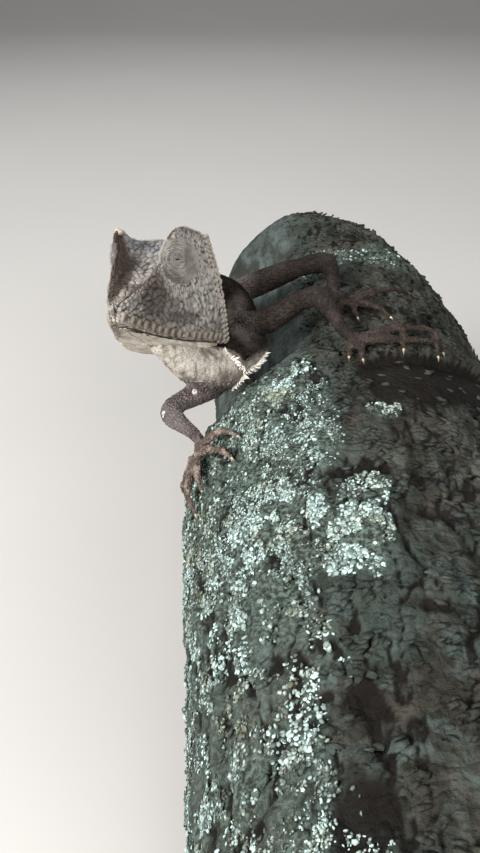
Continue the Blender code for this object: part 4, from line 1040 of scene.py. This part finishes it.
# %% Body: the tables
# Nape to tail tip: place, half width, half height, the direction of the back.
BODY_LINE = (
    ((-36.6, 9.4, 32.8), 4.6, 6.0, (0.12, 0.39, 0.91)),
    ((-33.0, 13.2, 30.4), 4.6, 6.2, (0.0, 0.40, 0.91)),
    ((-29.0, 16.2, 27.8), 5.0, 6.5, (-0.20, 0.40, 0.90)),
    ((-26.2, 19.6, 25.2), 5.4, 6.8, (-0.45, 0.30, 0.84)),
    ((-26.0, 24.6, 23.0), 5.2, 6.9, (-0.62, 0.12, 0.77)),
    ((-28.2, 31.0, 20.4), 5.1, 6.7, (-0.68, 0.05, 0.73)),
    ((-30.2, 37.0, 17.8), 4.5, 5.7, (-0.70, 0.0, 0.71)),
    ((-31.4, 43.5, 15.6), 3.2, 4.2, (-0.70, 0.0, 0.71)),
    ((-32.2, 52.0, 13.4), 2.3, 2.9, (-0.65, 0.0, 0.76)),
    ((-33.2, 70.0, 9.6), 1.8, 2.2, (-0.5, 0.0, 0.87)),
    ((-34.6, 95.0, 4.2), 1.45, 1.7, (-0.3, 0.0, 0.95)),
    ((-38.5, 125.0, -4.6), 1.1, 1.3, (0.0, 0.0, 1.0)),
    ((-45.0, 153.0, -17.0), 0.8, 0.9, (0.0, 0.0, 1.0)),
    ((-53.0, 178.0, -31.0), 0.45, 0.5, (0.0, 0.0, 1.0)),
)
# Chin to breast: place, half width, half height.
THROAT_LINE = (
    ((-38.0, -1.4, 29.4), 2.2, 1.6), ((-35.0, 0.2, 26.8), 3.2, 3.0), ((-31.2, 2.2, 23.0), 4.2, 4.0),
    ((-26.8, 5.4, 20.6), 5.4, 4.4), ((-24.0, 10.2, 21.2), 6.2, 4.8), ((-24.4, 16.0, 22.0), 5.6, 4.6),
)
# Limbs: root, shoulder or hip, elbow or knee, wrist or ankle, palm or sole; and the radius at each.
LIMB_RADII = {"arm": (2.3, 2.3, 1.9, 1.1, 1.25), "leg": (2.8, 2.8, 1.9, 1.1, 1.3)}
LIMBS = {
    "arm_left": ((-25.5, 16.5, 24.6), (-19.5, 10.6, 27.1), (-10.3, 6.9, 33.9), (-5.5, -2.6, 31.4),
                 (-3.0, -3.4, 31.2)),
    "arm_right": ((-25.6, 12.0, 20.6), (-27.2, 4.4, 18.6), (-35.3, -5.2, 18.2), (-30.2, -14.2, 18.4),
                  (-29.9, -17.6, 17.6)),
    "leg_left": ((-28.4, 37.0, 18.4), (-26.0, 36.0, 20.6), (-7.2, 27.0, 31.9), (-5.8, 13.8, 31.2),
                 (-4.2, 12.0, 31.2)),
    "leg_right": ((-30.8, 37.0, 16.4), (-33.0, 36.0, 14.6), (-41.0, 30.0, 18.6), (-31.8, 41.0, 4.0),
                  (-31.2, 43.6, 1.4)),
}
# Digits: angle round the branch (90 is the top), place along it, height over its bark.
DIGITS = {
    "arm_left": (
        ((97, -3.4, 1.6), (100, -4.8, 1.2), (101, -7.0, 0.7)),
        ((96, -3.4, 1.6), (97, -5.8, 1.3), (97, -8.2, 0.7)),
        ((95, -3.2, 1.7), (89, -1.8, 2.3), (84, -0.8, 3.0), (83.5, -3.2, 1.7), (83.5, -5.0, 0.7)),
        ((95, -2.8, 1.7), (86, -1.2, 2.3), (78, 0.2, 2.6), (72, 0.6, 2.9), (71, -1.8, 1.5),
         (70.5, -3.4, 0.7)),
        ((95, -3.6, 1.7), (86, -3.4, 1.6), (77, -1.8, 1.6), (70, -0.6, 2.0), (67, -0.6, 0.7)),
    ),
    "arm_right": (
        ((150, -18.2, 1.8), (155, -19.6, 1.4), (160, -18.6, 1.2), (163, -17.6, 0.7)),
        ((150, -18.8, 1.8), (151, -22.5, 2.0), (152.5, -25.6, 1.8), (151.5, -28.6, 1.2), (151, -30.6, 0.7)),
        ((149, -18.8, 1.8), (148, -21.6, 2.0), (148.5, -24.2, 1.5), (148.5, -26.6, 0.7)),
        ((148, -18.4, 1.8), (144, -19.8, 1.8), (140.5, -21.6, 1.3), (138, -24.2, 0.7)),
        ((148, -17.6, 1.8), (144, -17.0, 1.9), (139.5, -17.2, 1.6), (136, -19.6, 0.7)),
    ),
    "leg_left": (
        ((98, 12.0, 1.7), (102, 10.6, 1.4), (104, 8.4, 0.7)),
        ((97, 11.6, 1.7), (96, 9.2, 1.6), (95, 6.2, 0.7)),
        ((96, 11.6, 1.7), (91, 9.0, 1.8), (87, 8.0, 1.4), (84, 6.2, 0.7)),
        ((96, 12.2, 1.7), (90, 12.8, 2.2), (82, 15.5, 2.2), (77, 17.6, 1.6), (72.5, 19.8, 0.7)),
        ((97, 12.8, 1.7), (92, 15.0, 1.6), (90, 18.6, 0.7)),
    ),
    "leg_right": (
        ((178, 43.4, 1.8), (183, 42.0, 1.5), (188, 40.4, 0.7)),
        ((179, 44.0, 1.8), (186, 44.6, 1.6), (192, 43.6, 0.7)),
        ((179, 44.4, 1.8), (186, 47.0, 1.9), (192, 48.8, 1.4), (197, 49.6, 0.7)),
        ((178, 44.6, 1.8), (183, 49.4, 2.2), (188, 54.6, 2.0), (192, 59.0, 1.4), (196, 62.0, 0.7)),
        ((177, 44.4, 1.8), (175, 48.4, 1.6), (172, 52.4, 0.7)),
    ),
}
BODY_INSET, LIMB_INSET = 0.12, 0.1


# %% Body: tubes along lines
def oval_rings(line, wide, high, backs, sides):
    """Ring point = place + across times half width times cosine + up times half height times sine."""
    along = unit(np.gradient(line, axis=0))
    across = unit(np.cross(backs, along))
    up = np.cross(along, across)
    turn = np.linspace(0, 2 * np.pi, sides, endpoint=False)
    return (line[:, None] + across[:, None] * (np.cos(turn) * wide[:, None])[..., None]
            + up[:, None] * (np.sin(turn) * high[:, None])[..., None])


def body_at(rows):
    """Place, half width, half height and back direction read from the body's table."""
    table = np.array([[*place, width, height, *back] for place, width, height, back in BODY_LINE])
    read = smooth_curve(np.arange(len(table)), table, rows)
    return read[:, 0:3], read[:, 3], read[:, 4], unit(read[:, 5:8])


def along_joints(joints, sizes, step):
    """A smooth line through joints with its sizes, at even steps."""
    joints = np.array(joints, float)
    knots = run_lengths(joints)
    at = np.linspace(0, knots[-1], max(5, int(knots[-1] / step)))
    read = smooth_curve(knots, np.column_stack([joints, sizes]), at)
    return read[:, :3], read[:, 3:]


def on_branch(angle, along, height):
    """A point at a height over the branch's slow shape."""
    return round_branch(float(angle), along, branch_radius(float(angle), along) + height)


tubes, lines, digit_tips = [], [], []


def add_tube(kind, line, wide, high, back, sides):
    """Keep a tube's rings, and its line with its kind, direction and size for laying scales later."""
    tubes.append(oval_rings(line, wide, high, np.broadcast_to(back, line.shape), sides))
    lines.append((kind, line, unit(np.gradient(line, axis=0)), (wide + high) / 2))


body_line, body_wide, body_high, body_backs = body_at(np.linspace(0.0, len(BODY_LINE) - 1.0, 220))
add_tube("trunk", body_line, body_wide - BODY_INSET, body_high - BODY_INSET, body_backs, 40)
throat_joints, throat_wide, throat_high = zip(*THROAT_LINE)
line, size = along_joints(throat_joints, np.column_stack([throat_wide, throat_high]), 0.5)
add_tube("throat", line, size[:, 0] - LIMB_INSET, size[:, 1] - LIMB_INSET, UP, 36)
for limb, joints in LIMBS.items():
    line, size = along_joints(joints, np.array(LIMB_RADII[limb[:3]])[:, None], 0.5)
    share = np.linspace(0, 1, len(line))
    muscle = (1 + 0.10 * hill(share - 0.30, 0.12) + 0.16 * hill(share - 0.66, 0.10)
              - 0.10 * hill(share - 0.50, 0.05))
    radius = size[:, 0] * muscle - LIMB_INSET
    add_tube("limb", line, radius, radius, unit([line[0, 0], 0.3, abs(line[0, 2]) + 9.0]), 24)
    for places in DIGITS[limb]:
        points = np.array([on_branch(*place) for place in places])
        line, _ = along_joints(points, np.zeros((len(points), 1)), 0.3)
        share = np.linspace(0, 1, len(line))
        radius = (0.98 - 0.58 * share) * (1 + 0.10 * np.cos(share * 2 * np.pi * (len(places) - 1)))
        add_tube("digit", line, radius, radius * 0.9, unit(points[0] * (1, 0, 1)), 14)
        digit_tips.append((line[-1], unit(line[-1] - line[-4]), unit(points[-1] * (1, 0, 1))))
print(len(tubes), "tubes make the body")

# %% Body: one skin
SKIN_VOXEL = 0.29
MELTING = (("REMESH", {"mode": "VOXEL", "voxel_size": SKIN_VOXEL * MM}),
           ("SMOOTH", {"factor": 0.5, "iterations": 5}))
cores = []
for rings in tubes:
    points = tube_points(rings)
    cores.append((points, turned_out(points - points.mean(0), tube_faces(*rings.shape[:2]))))
core = lay_mesh("hide_core", *joined(cores), PALE_SHIELDS)
for kind, settings in MELTING:
    modifier = core.modifiers.new(kind.title(), kind)
    for key, value in settings.items():
        setattr(modifier, key, value)
evaluated = core.evaluated_get(bpy.context.evaluated_depsgraph_get())
melted = evaluated.to_mesh()
hide_points, hide_normals = np.empty((2, len(melted.vertices), 3))
hide_faces = np.empty((len(melted.loops) // 4, 4), np.int32)
melted.vertices.foreach_get("co", hide_points.ravel())
melted.vertices.foreach_get("normal", hide_normals.ravel())
melted.loops.foreach_get("vertex_index", hide_faces.ravel())
hide_points = (hide_points - SHIFT) / MM
evaluated.to_mesh_clear()
bpy.data.objects.remove(core, do_unlink=True)
print("melted skin:", len(hide_points), "points")

# %% [markdown]
# The skin has no table of its own any more, so each of its points looks up the nearest tube line. That
# tells what it belongs to, and so its colour and how its scales lie. A yes or no would leave a hard border,
# so it is softened by comparing the distance to the lines that say yes with that to the others.

# %% Body: which part each point belongs to
line_points = np.vstack([line for _, line, _, _ in lines])
line_along = np.vstack([along for _, _, along, _ in lines])
line_size = np.concatenate([size for _, _, _, size in lines])
line_kind = np.concatenate([[kind] * len(line) for kind, line, _, _ in lines])
line_tube = np.concatenate([[k] * len(line[1]) for k, line in enumerate(lines)])
line_step = np.concatenate([run_lengths(line) for _, line, _, _ in lines])
nearest_gap = np.full(len(hide_points), 1e9)
hide_index = np.zeros(len(hide_points), int)
for k in range(len(line_points)):
    gap = np.linalg.norm(hide_points - line_points[k], axis=1) - line_size[k]
    hide_index = np.where(gap < nearest_gap, k, hide_index)
    nearest_gap = np.minimum(gap, nearest_gap)
hide_kind = line_kind[hide_index]


def nearest(targets):
    """Distance from each skin point to the nearest of some points."""
    return np.min([np.linalg.norm(hide_points - target, axis=1) for target in targets], axis=0)


def softened(mask, width):
    """A yes or no for each line point, as a smooth share for each skin point."""
    return ease((nearest(line_points[~mask][::3]) - nearest(line_points[mask][::3])) / width + 0.5)


# Painted highlights: small white spots, two on the right arm near the elbow and one on the left elbow.
ELBOW_HIGHLIGHTS = ((-31.4, -1.9, 20.1), (-36.4, -7.4, 18.9), (-10.2, 5.4, 35.0))
local = (hide_points - HEAD_ORIGIN) @ HEAD_AXES.T / HEAD_LENGTH
# Painted shade: the nape under the casque's overhang is coloured nearly black, and this zone is kept out of
# the cream throat.
nape_shade_zone = ease((-0.89 - local[:, 0]) / 0.05) * ease((local[:, 2] + 0.30 - 0.55 * (-0.94 - local[:, 0])) / 0.06)
limb_share = softened((line_kind == "limb") | (line_kind == "digit"), 2.6)
hide_shares = {
    "limb": limb_share,
    "toe": softened(line_kind == "digit", 1.5),
    "throat": softened(line_kind == "throat", 4.5) * (1 - nape_shade_zone),
    "neck": nape_shade_zone * ease((local[:, 0] + 2.3) / 0.8) * (1 - 0.6 * limb_share),
    # Painted shade: this share darkens the skin towards +X, where the left limbs are.
    "left": ease((hide_points[:, 0] + 24.0) / 5.0),
    "elbow_highlight": hill(nearest(ELBOW_HIGHLIGHTS), 0.72),
}
creases = 1 - plate_height(plates(hide_points, 0.75, 151)[0], 0.3)
folds = np.abs(cloud(hide_points * (1.0, 1.6, 1.0), 2.6, 153, 3)) * (1 - 0.7 * hide_shares["toe"])
seams = 1 - plate_height(plates(hide_points * (1.0, 1.0, 0.6), 1.3, 155)[0], 0.35)
hide_depth = 0.06 + 0.10 * creases + 0.22 * folds + hide_shares["throat"] * 0.22 * seams
hide_skin = hide_points - hide_normals * hide_depth[:, None]


# %% Hide finish
def hide_finish(name, scales):
    """Mauve-brown skin with mottling, cream under the throat, painted shade in near black on the nape under
    the casque and in dark brown on the left limbs, greyer limbs, and painted white highlights at the elbows.
    """
    f = Finish(name)
    left = f.value("left")
    trunk = skin_marks(f, (0.145, 0.112, 0.098), 4.6, (0.28, 0.25, 0.225), (0.060, 0.042, 0.035))
    limb = skin_marks(f, (0.125, 0.108, 0.105), 2.6, (0.24, 0.22, 0.21), (0.060, 0.046, 0.042))
    # Painted shade, mottled: dark brown for the left limbs.
    painted_shade = f.blend(f.patches(5.0, 4.0, 0.40, 0.62), (0.007, 0.005, 0.0045), (0.024, 0.019, 0.0175))
    # Painted shade: near black for the nape under the casque.
    dark = f.blend(f.patches(2.0, 4.0, 0.42, 0.64), (0.004, 0.0025, 0.002), (0.020, 0.011, 0.008))
    streaks = f.step(f.noise(1.6, 4.0, f.stretched(1.0, 0.8, 0.25)), 0.38, 0.58)
    toes = f.blend(f.patches(1.6, 3.0, 0.47, 0.60), (0.075, 0.052, 0.040), (0.27, 0.22, 0.18))
    # Painted highlights at the elbows, dimmer where the left side has painted shade.
    flecks = f.step(f.value("elbow_highlight") + f.noise(0.8, 3.0) * 0.5, 0.66, 0.84) * (0.9 - left * 0.35)
    colour = f.layers(
        trunk,
        (f.value("limb"), limb),
        (left * 0.92, painted_shade),
        (f.value("neck"), dark),
        (f.value("throat"), f.blend(streaks, (0.19, 0.155, 0.130), (0.46, 0.43, 0.38))),
        # The left toes are darkened by the same painted shade.
        (f.value("toe") * 0.75, f.blend(left * 0.85, toes, (0.024, 0.017, 0.014))),
        (flecks, (0.62, 0.60, 0.57)))
    if scales:
        # Pale scale tones stay off the painted shade of the nape and of the left limbs.
        lit = 1.0 - f.step(f.value("neck") * 0.97 + left * 0.85, 0.0, 1.0)
        colour = f.layers(colour, (f.value("tone") * lit * 0.12, (0.40, 0.37, 0.34)),
                          (f.step(f.value("height"), 0.00, -0.3) * 0.6, (0.030, 0.021, 0.017)))
    else:
        colour = f.blend(f.step(f.cells(0.42), 0.10, 0.0) * 0.6, colour, (0.035, 0.025, 0.020))
    height = f.noise(0.22, 4.0) * 0.5 + f.step(f.cells(0.42), 0.0, 0.18) * (0.2 if scales else 0.7)
    return f.done(colour, 0.75, f.bump(height, 0.45, 0.08), Specular_IOR_Level=0.12)


hide = lay_mesh("hide", hide_skin, [hide_faces], hide_finish("hide", False), "trunk", **hide_shares)
flesh = ["neck", "torso", "throat", "tail_1", "tail_2", "tail_3", "tail_4"]
for side in SIDES:
    flesh += [f"{part}_{side}" for part in ("upper_arm", "forearm", "hand", "thigh", "shank", "foot")]
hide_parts(*flesh)

# %% [markdown]
# Small keeled scales cover the hide in rows that run back along the body and down each limb. Real mesh
# scales catch the light along every edge, which bump cannot do at the outline. A scale is a closed
# eight-sided lozenge whose back end lifts. Its root is one skin point in each small cell of space, so
# that scales never pile up, and its direction is that of the nearest tube.

# %% Scales
SCALE = np.array([(-0.9, 0, 0.0), (0.0, 0.62, -0.02), (0.95, 0, 0.10), (0.0, -0.62, -0.02), (0.15, 0, 0.22),
                  (0.0, 0, -0.45)])
SCALE_FACES = [np.array([(0, 3, 4), (3, 2, 4), (2, 1, 4), (1, 0, 4),
                         (3, 0, 5), (2, 3, 5), (1, 2, 5), (0, 1, 5)])]


def scale_roots(size, seed):
    """One skin point for each cell of space of a size: the first after a fixed shuffle."""
    order = np.random.default_rng(seed).permutation(len(hide_skin))
    cell = np.floor(hide_skin[order] / size).astype(np.int64)
    key = cell[:, 0] * 4000003 + cell[:, 1] * 2003 + cell[:, 2]
    return order[np.unique(key, return_index=True)[1]]


def lay_scales(name, roots, length, seed):
    """Scales at skin points, pointing back along the nearest line. Their flat map has a strip for each
    tube, across by the angle round it and along by the length of its line."""
    rng = np.random.default_rng(seed)
    at = hide_index[roots]
    outward = hide_normals[roots]
    along = line_along[at] + rng.normal(0, 0.10, (len(roots), 3))
    size = length * rng.uniform(0.85, 1.15, len(roots))[:, None] * (1.0, 0.95, 0.8)
    places = hide_skin[roots] + outward * 0.02
    points, faces = repeated(SCALE, SCALE_FACES, places, frames(outward, along), size)
    radial = hide_skin[roots] - line_points[at]
    side = np.cross(line_along[at], (0.31, 0.17, 0.93))
    turn = np.arctan2((radial * side).sum(1), (radial * np.cross(line_along[at], side)).sum(1))
    strip = (line_tube[at] + 0.1 + 0.8 * (turn / (2 * np.pi) + 0.5)) / len(lines)
    spots = patch_spots(SCALE, np.stack([strip, 0.01 + line_step[at] / (line_step.max() + 4)], -1))
    shares = {key: np.repeat(share[roots], len(SCALE)) for key, share in hide_shares.items()}
    lay_mesh(name, points, faces, HIDE_SCALES, "trunk", spots=spots, height=np.tile(SCALE[:, 2], len(roots)),
             tone=np.repeat(rng.random(len(roots)), len(SCALE)), **shares)


HIDE_SCALES = hide_finish("hide scales", True)
roots = scale_roots(0.62, 161)
roots = roots[(hide_kind[roots] != "digit") & (hide_shares["throat"][roots] < 0.5)]
lay_scales("hide_scales", roots, 0.42, 163)
roots = scale_roots(0.5, 165)
lay_scales("toe_scales", roots[hide_kind[roots] == "digit"], 0.34, 167)

# %% [markdown]
# White pointed scales stand in rows along the folds between throat and shoulder, each brow ends in a
# point, a low crest of pointed scales runs down the back, and every digit ends in a hooked claw. Each is
# a small cone bent along its length: rings of a shrinking radius along a line that curves.

# %% Spikes, crest and claws
def cones(feet, outward, bend, radius, height, sides=7, rows=5, vary=0.0):
    """Ring point = foot + outward times height times t + bend times t squared + radius times (1 - t)."""
    t = np.linspace(-0.25, 0.97, rows)
    turn = np.linspace(0, 2 * np.pi, sides, endpoint=False)
    axes = frames(outward, np.broadcast_to((0.31, 0.52, 0.79), np.shape(outward)))
    bend = np.broadcast_to(bend, feet.shape)
    round_ring = np.cos(turn)[:, None] * axes[:, None, 0] + np.sin(turn)[:, None] * axes[:, None, 1]
    tall = height * (1 + vary * np.random.default_rng(173).uniform(-1, 1, len(feet)))
    middle = feet[:, None] + axes[:, None, 2] * (tall[:, None] * t)[..., None]
    middle = middle + bend[:, None] * (t * np.abs(t))[None, :, None]
    ring_radius = radius * (1 - np.maximum(t, 0)) ** 0.8
    rings = middle[:, :, None] + ring_radius[None, :, None, None] * round_ring[:, None]
    points = np.concatenate([rings.reshape(len(feet), -1, 3), rings[:, 0].mean(1, keepdims=True),
                             rings[:, -1].mean(1, keepdims=True)], 1)
    per = points.shape[1]
    height_share = np.tile(np.append(np.repeat(t, sides), [t[0], t[-1]]), len(feet))
    tone = np.repeat(np.random.default_rng(171).random(len(feet)), per)
    return points.reshape(-1, 3), copied_faces(tube_faces(rows, sides), len(feet), per), height_share, tone


FOLDS = (
    ((-24.6, 2.0, 18.6), (-23.3, 1.9, 20.0), (-22.1, 2.7, 21.4), (-20.2, 4.7, 21.7), (-18.7, 7.9, 22.4)),
    ((-26.3, 3.6, 25.2), (-25.1, 2.7, 24.5), (-23.7, 2.2, 23.3), (-22.6, 2.4, 22.0)),
)
FOLD_MIDDLE = np.array([-25.5, 8.0, 21.2])
# Rows of each fold: drop below its edge, pitch, height.
FOLD_ROWS = ((0.0, 0.50, 1.25), (0.50, 0.56, 0.85), (1.0, 0.62, 0.6))
fold_cones = []
for fold in FOLDS:
    for drop, pitch, height in FOLD_ROWS:
        places, _ = spread(np.array(fold), pitch, 0.0)
        outward = unit(places - FOLD_MIDDLE) + np.random.default_rng(175).normal(0, 0.22, places.shape)
        feet = places - unit(outward) * (0.15 + drop * 0.4) - UP * drop
        fold_cones.append(cones(feet, outward, UP * 0.15, 0.30, height, vary=0.45))
WHITE_POINTS = shield_finish("white points", (0.80, 0.78, 0.72), (0.62, 0.58, 0.50), (0.70, 0.67, 0.60))
lay_rows("fold_points", fold_cones, WHITE_POINTS, "pale", 0.4)

# The near brow is blunt and the far one is sharp, as in the photo.
BROW_POINT_HEIGHTS = np.array([0.45, 1.4])
brow_tips = to_world(head_line(RIM_AT, 0.58, 0.60)[0] * [(1, side, 1) for side in SIDES.values()])
brow_out = np.array([UP * 0.9 + LEFT * side * 0.6 for side in SIDES.values()])
brow_cones = cones(brow_tips - unit(brow_out) * 0.7, brow_out, -FORWARD * 0.3, 1.05, BROW_POINT_HEIGHTS, 9, 6)
lay_rows("brow_points", [brow_cones], RIM_BEADS, "head", 0.3)

crest_line, _, crest_high, crest_backs = body_at(np.linspace(0.35, 6.9, 46))
crest_along = unit(np.gradient(crest_line, axis=0))
crest_up = np.cross(crest_along, unit(np.cross(crest_backs, crest_along)))
feet = crest_line + crest_up * (crest_high[:, None] - 0.30)
CREST = shield_finish("crest scales", (0.17, 0.135, 0.115), (0.10, 0.075, 0.062), (0.26, 0.22, 0.19))
lay_rows("crest", [cones(feet, crest_up, crest_along * 0.45, 0.50, 1.25)], CREST, "trunk", 0.3)


def claw_finish():
    """Horn: pale amber at the root, dark at the tip, smooth and a little glossy."""
    f = Finish("claws")
    towards_tip = f.step(f.value("height") + f.noise(0.4, 2.0) * 0.3, 0.25, 0.95)
    colour = f.blend(towards_tip, (0.46, 0.38, 0.28), (0.075, 0.05, 0.035))
    return f.done(colour, 0.35, f.bump(f.noise(0.2, 2.0), 0.2, 0.03), Coat_Weight=0.2)


feet, outward, from_bark = [np.array(column) for column in zip(*digit_tips)]
claws = cones(feet - outward * 0.1, outward + from_bark * 0.35, -from_bark * 0.50, 0.21, 0.95, 8, 7)
lay_rows("claws", [claws], claw_finish(), "limb")

# %% [markdown]
# The stand is plain and satin black, as museums use: it should hold the model and not be noticed. Its
# solids already have the right shape, so they keep it and only get a finish with a fine grain, slightly
# worn paint and a little dust.

# %% Stand
def stand_finish():
    """Satin black paint: an even dark grey with a fine orange-peel grain and soft patches of dust."""
    f = Finish("satin stand")
    dust = f.patches(24.0, 6.0, 0.50, 0.72)
    colour = f.layers((0.022, 0.022, 0.024), (dust * 0.35, (0.060, 0.058, 0.055)),
                      (f.patches(0.7, 2.0, 0.62, 0.7) * 0.4, (0.085, 0.083, 0.080)))
    return f.done(colour, dust * 0.18 + 0.36, f.bump(f.noise(0.45, 3.0), 0.25, 0.05))


STAND = stand_finish()
for node in ("stand_base", "stand_rod_front", "stand_rod_back"):
    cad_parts[node].data.materials.clear()
    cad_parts[node].data.materials.append(STAND)
print("stand painted")

# %% [markdown]
# The floor is a plain pale sheet that sweeps up behind the model. One soft lamp at the upper left does
# most of the lighting, as in the photograph. A weaker one opposite keeps detail on the shaded sides, and a
# third from above and behind draws a light edge along the back.

# %% Floor, light and camera
def floor_finish():
    """Matt pale grey with hardly visible clouds."""
    f = Finish("floor")
    return f.done(f.blend(f.noise(180.0, 2.0), (0.44, 0.43, 0.415), (0.48, 0.47, 0.455)), 0.8)


# In metres: how far the sheet reaches to each side, where it starts and ends, its bend's radius, its top.
SHEET_SIDE, SHEET_FRONT, SHEET_BACK, SHEET_BEND, SHEET_TOP = 3.5, -3.0, 2.0, 0.9, 3.5
bend = np.linspace(0, np.pi / 2, 13)
sheet_y = np.concatenate([[SHEET_FRONT], SHEET_BACK - SHEET_BEND * (1 - np.sin(bend)), [SHEET_BACK]])
sheet_z = np.concatenate([[0.0], SHEET_BEND * (1 - np.cos(bend)), [SHEET_TOP]])
sheet = [(x, y, z) for y, z in zip(sheet_y, sheet_z) for x in (-SHEET_SIDE, SHEET_SIDE)]
floor_mesh = bpy.data.meshes.new("floor")
floor_mesh.from_pydata(sheet, [], [(k, k + 1, k + 3, k + 2) for k in range(0, len(sheet) - 2, 2)])
floor_mesh.shade_smooth()
floor_mesh.materials.append(floor_finish())
floor = bpy.data.objects.new("floor", floor_mesh)
bpy.context.scene.collection.objects.link(floor)

# Lamps: place and aim in metres, width of the square, watts, tint.
WARM, WHITE = (1.0, 0.98, 0.95), (1.0, 1.0, 1.0)
LAMPS = {
    "key": ((-0.46, -0.36, 0.42), (0.0, -0.05, 0.08), 0.26, 8.0, WARM),
    "fill": ((0.30, -0.58, 0.42), (0.0, -0.05, 0.10), 0.40, 4.7, WARM),
    "back": ((-0.10, 0.50, 0.85), (0.0, 0.12, 0.08), 0.40, 4.0, WHITE),
}
for name, (place, aim, size, watts, tint) in LAMPS.items():
    light = bpy.data.lights.new(name, "AREA")
    light.size = size
    light.energy = watts
    light.color = tint
    lamp = bpy.data.objects.new(name, light)
    lamp.location = place
    lamp.rotation_euler = (Vector(aim) - Vector(place)).to_track_quat("-Z", "Y").to_euler()
    bpy.context.scene.collection.objects.link(lamp)

world = bpy.data.worlds.new("studio")
world.use_nodes = True
sky = world.node_tree.nodes["Background"].inputs
sky["Color"].default_value = (0.93, 0.95, 1.0, 1.0)
sky["Strength"].default_value = 0.30
bpy.context.scene.world = world
bpy.context.scene.view_settings.view_transform = "Standard"

# The lens is as long as 739 picture points, where the picture is 853 high; the sensor is 24 mm high.
LENS_IN_POINTS, PICTURE_HEIGHT, SENSOR_HEIGHT = 739.0, 853.0, 24.0
camera = bpy.data.cameras.new("camera")
camera.sensor_fit = "VERTICAL"
camera.sensor_height = SENSOR_HEIGHT
camera.lens = LENS_IN_POINTS / PICTURE_HEIGHT * SENSOR_HEIGHT
camera.clip_start = 0.001
camera_object = bpy.data.objects.new("camera", camera)
camera_object.location = np.array([-23.5, -111.8, 89.4]) * MM + SHIFT
camera_object.rotation_euler = (math.radians(55.0), 0.0, 0.0)
bpy.context.scene.collection.objects.link(camera_object)
bpy.context.scene.camera = camera_object
print("lamps:", ", ".join(LAMPS), "and a camera")
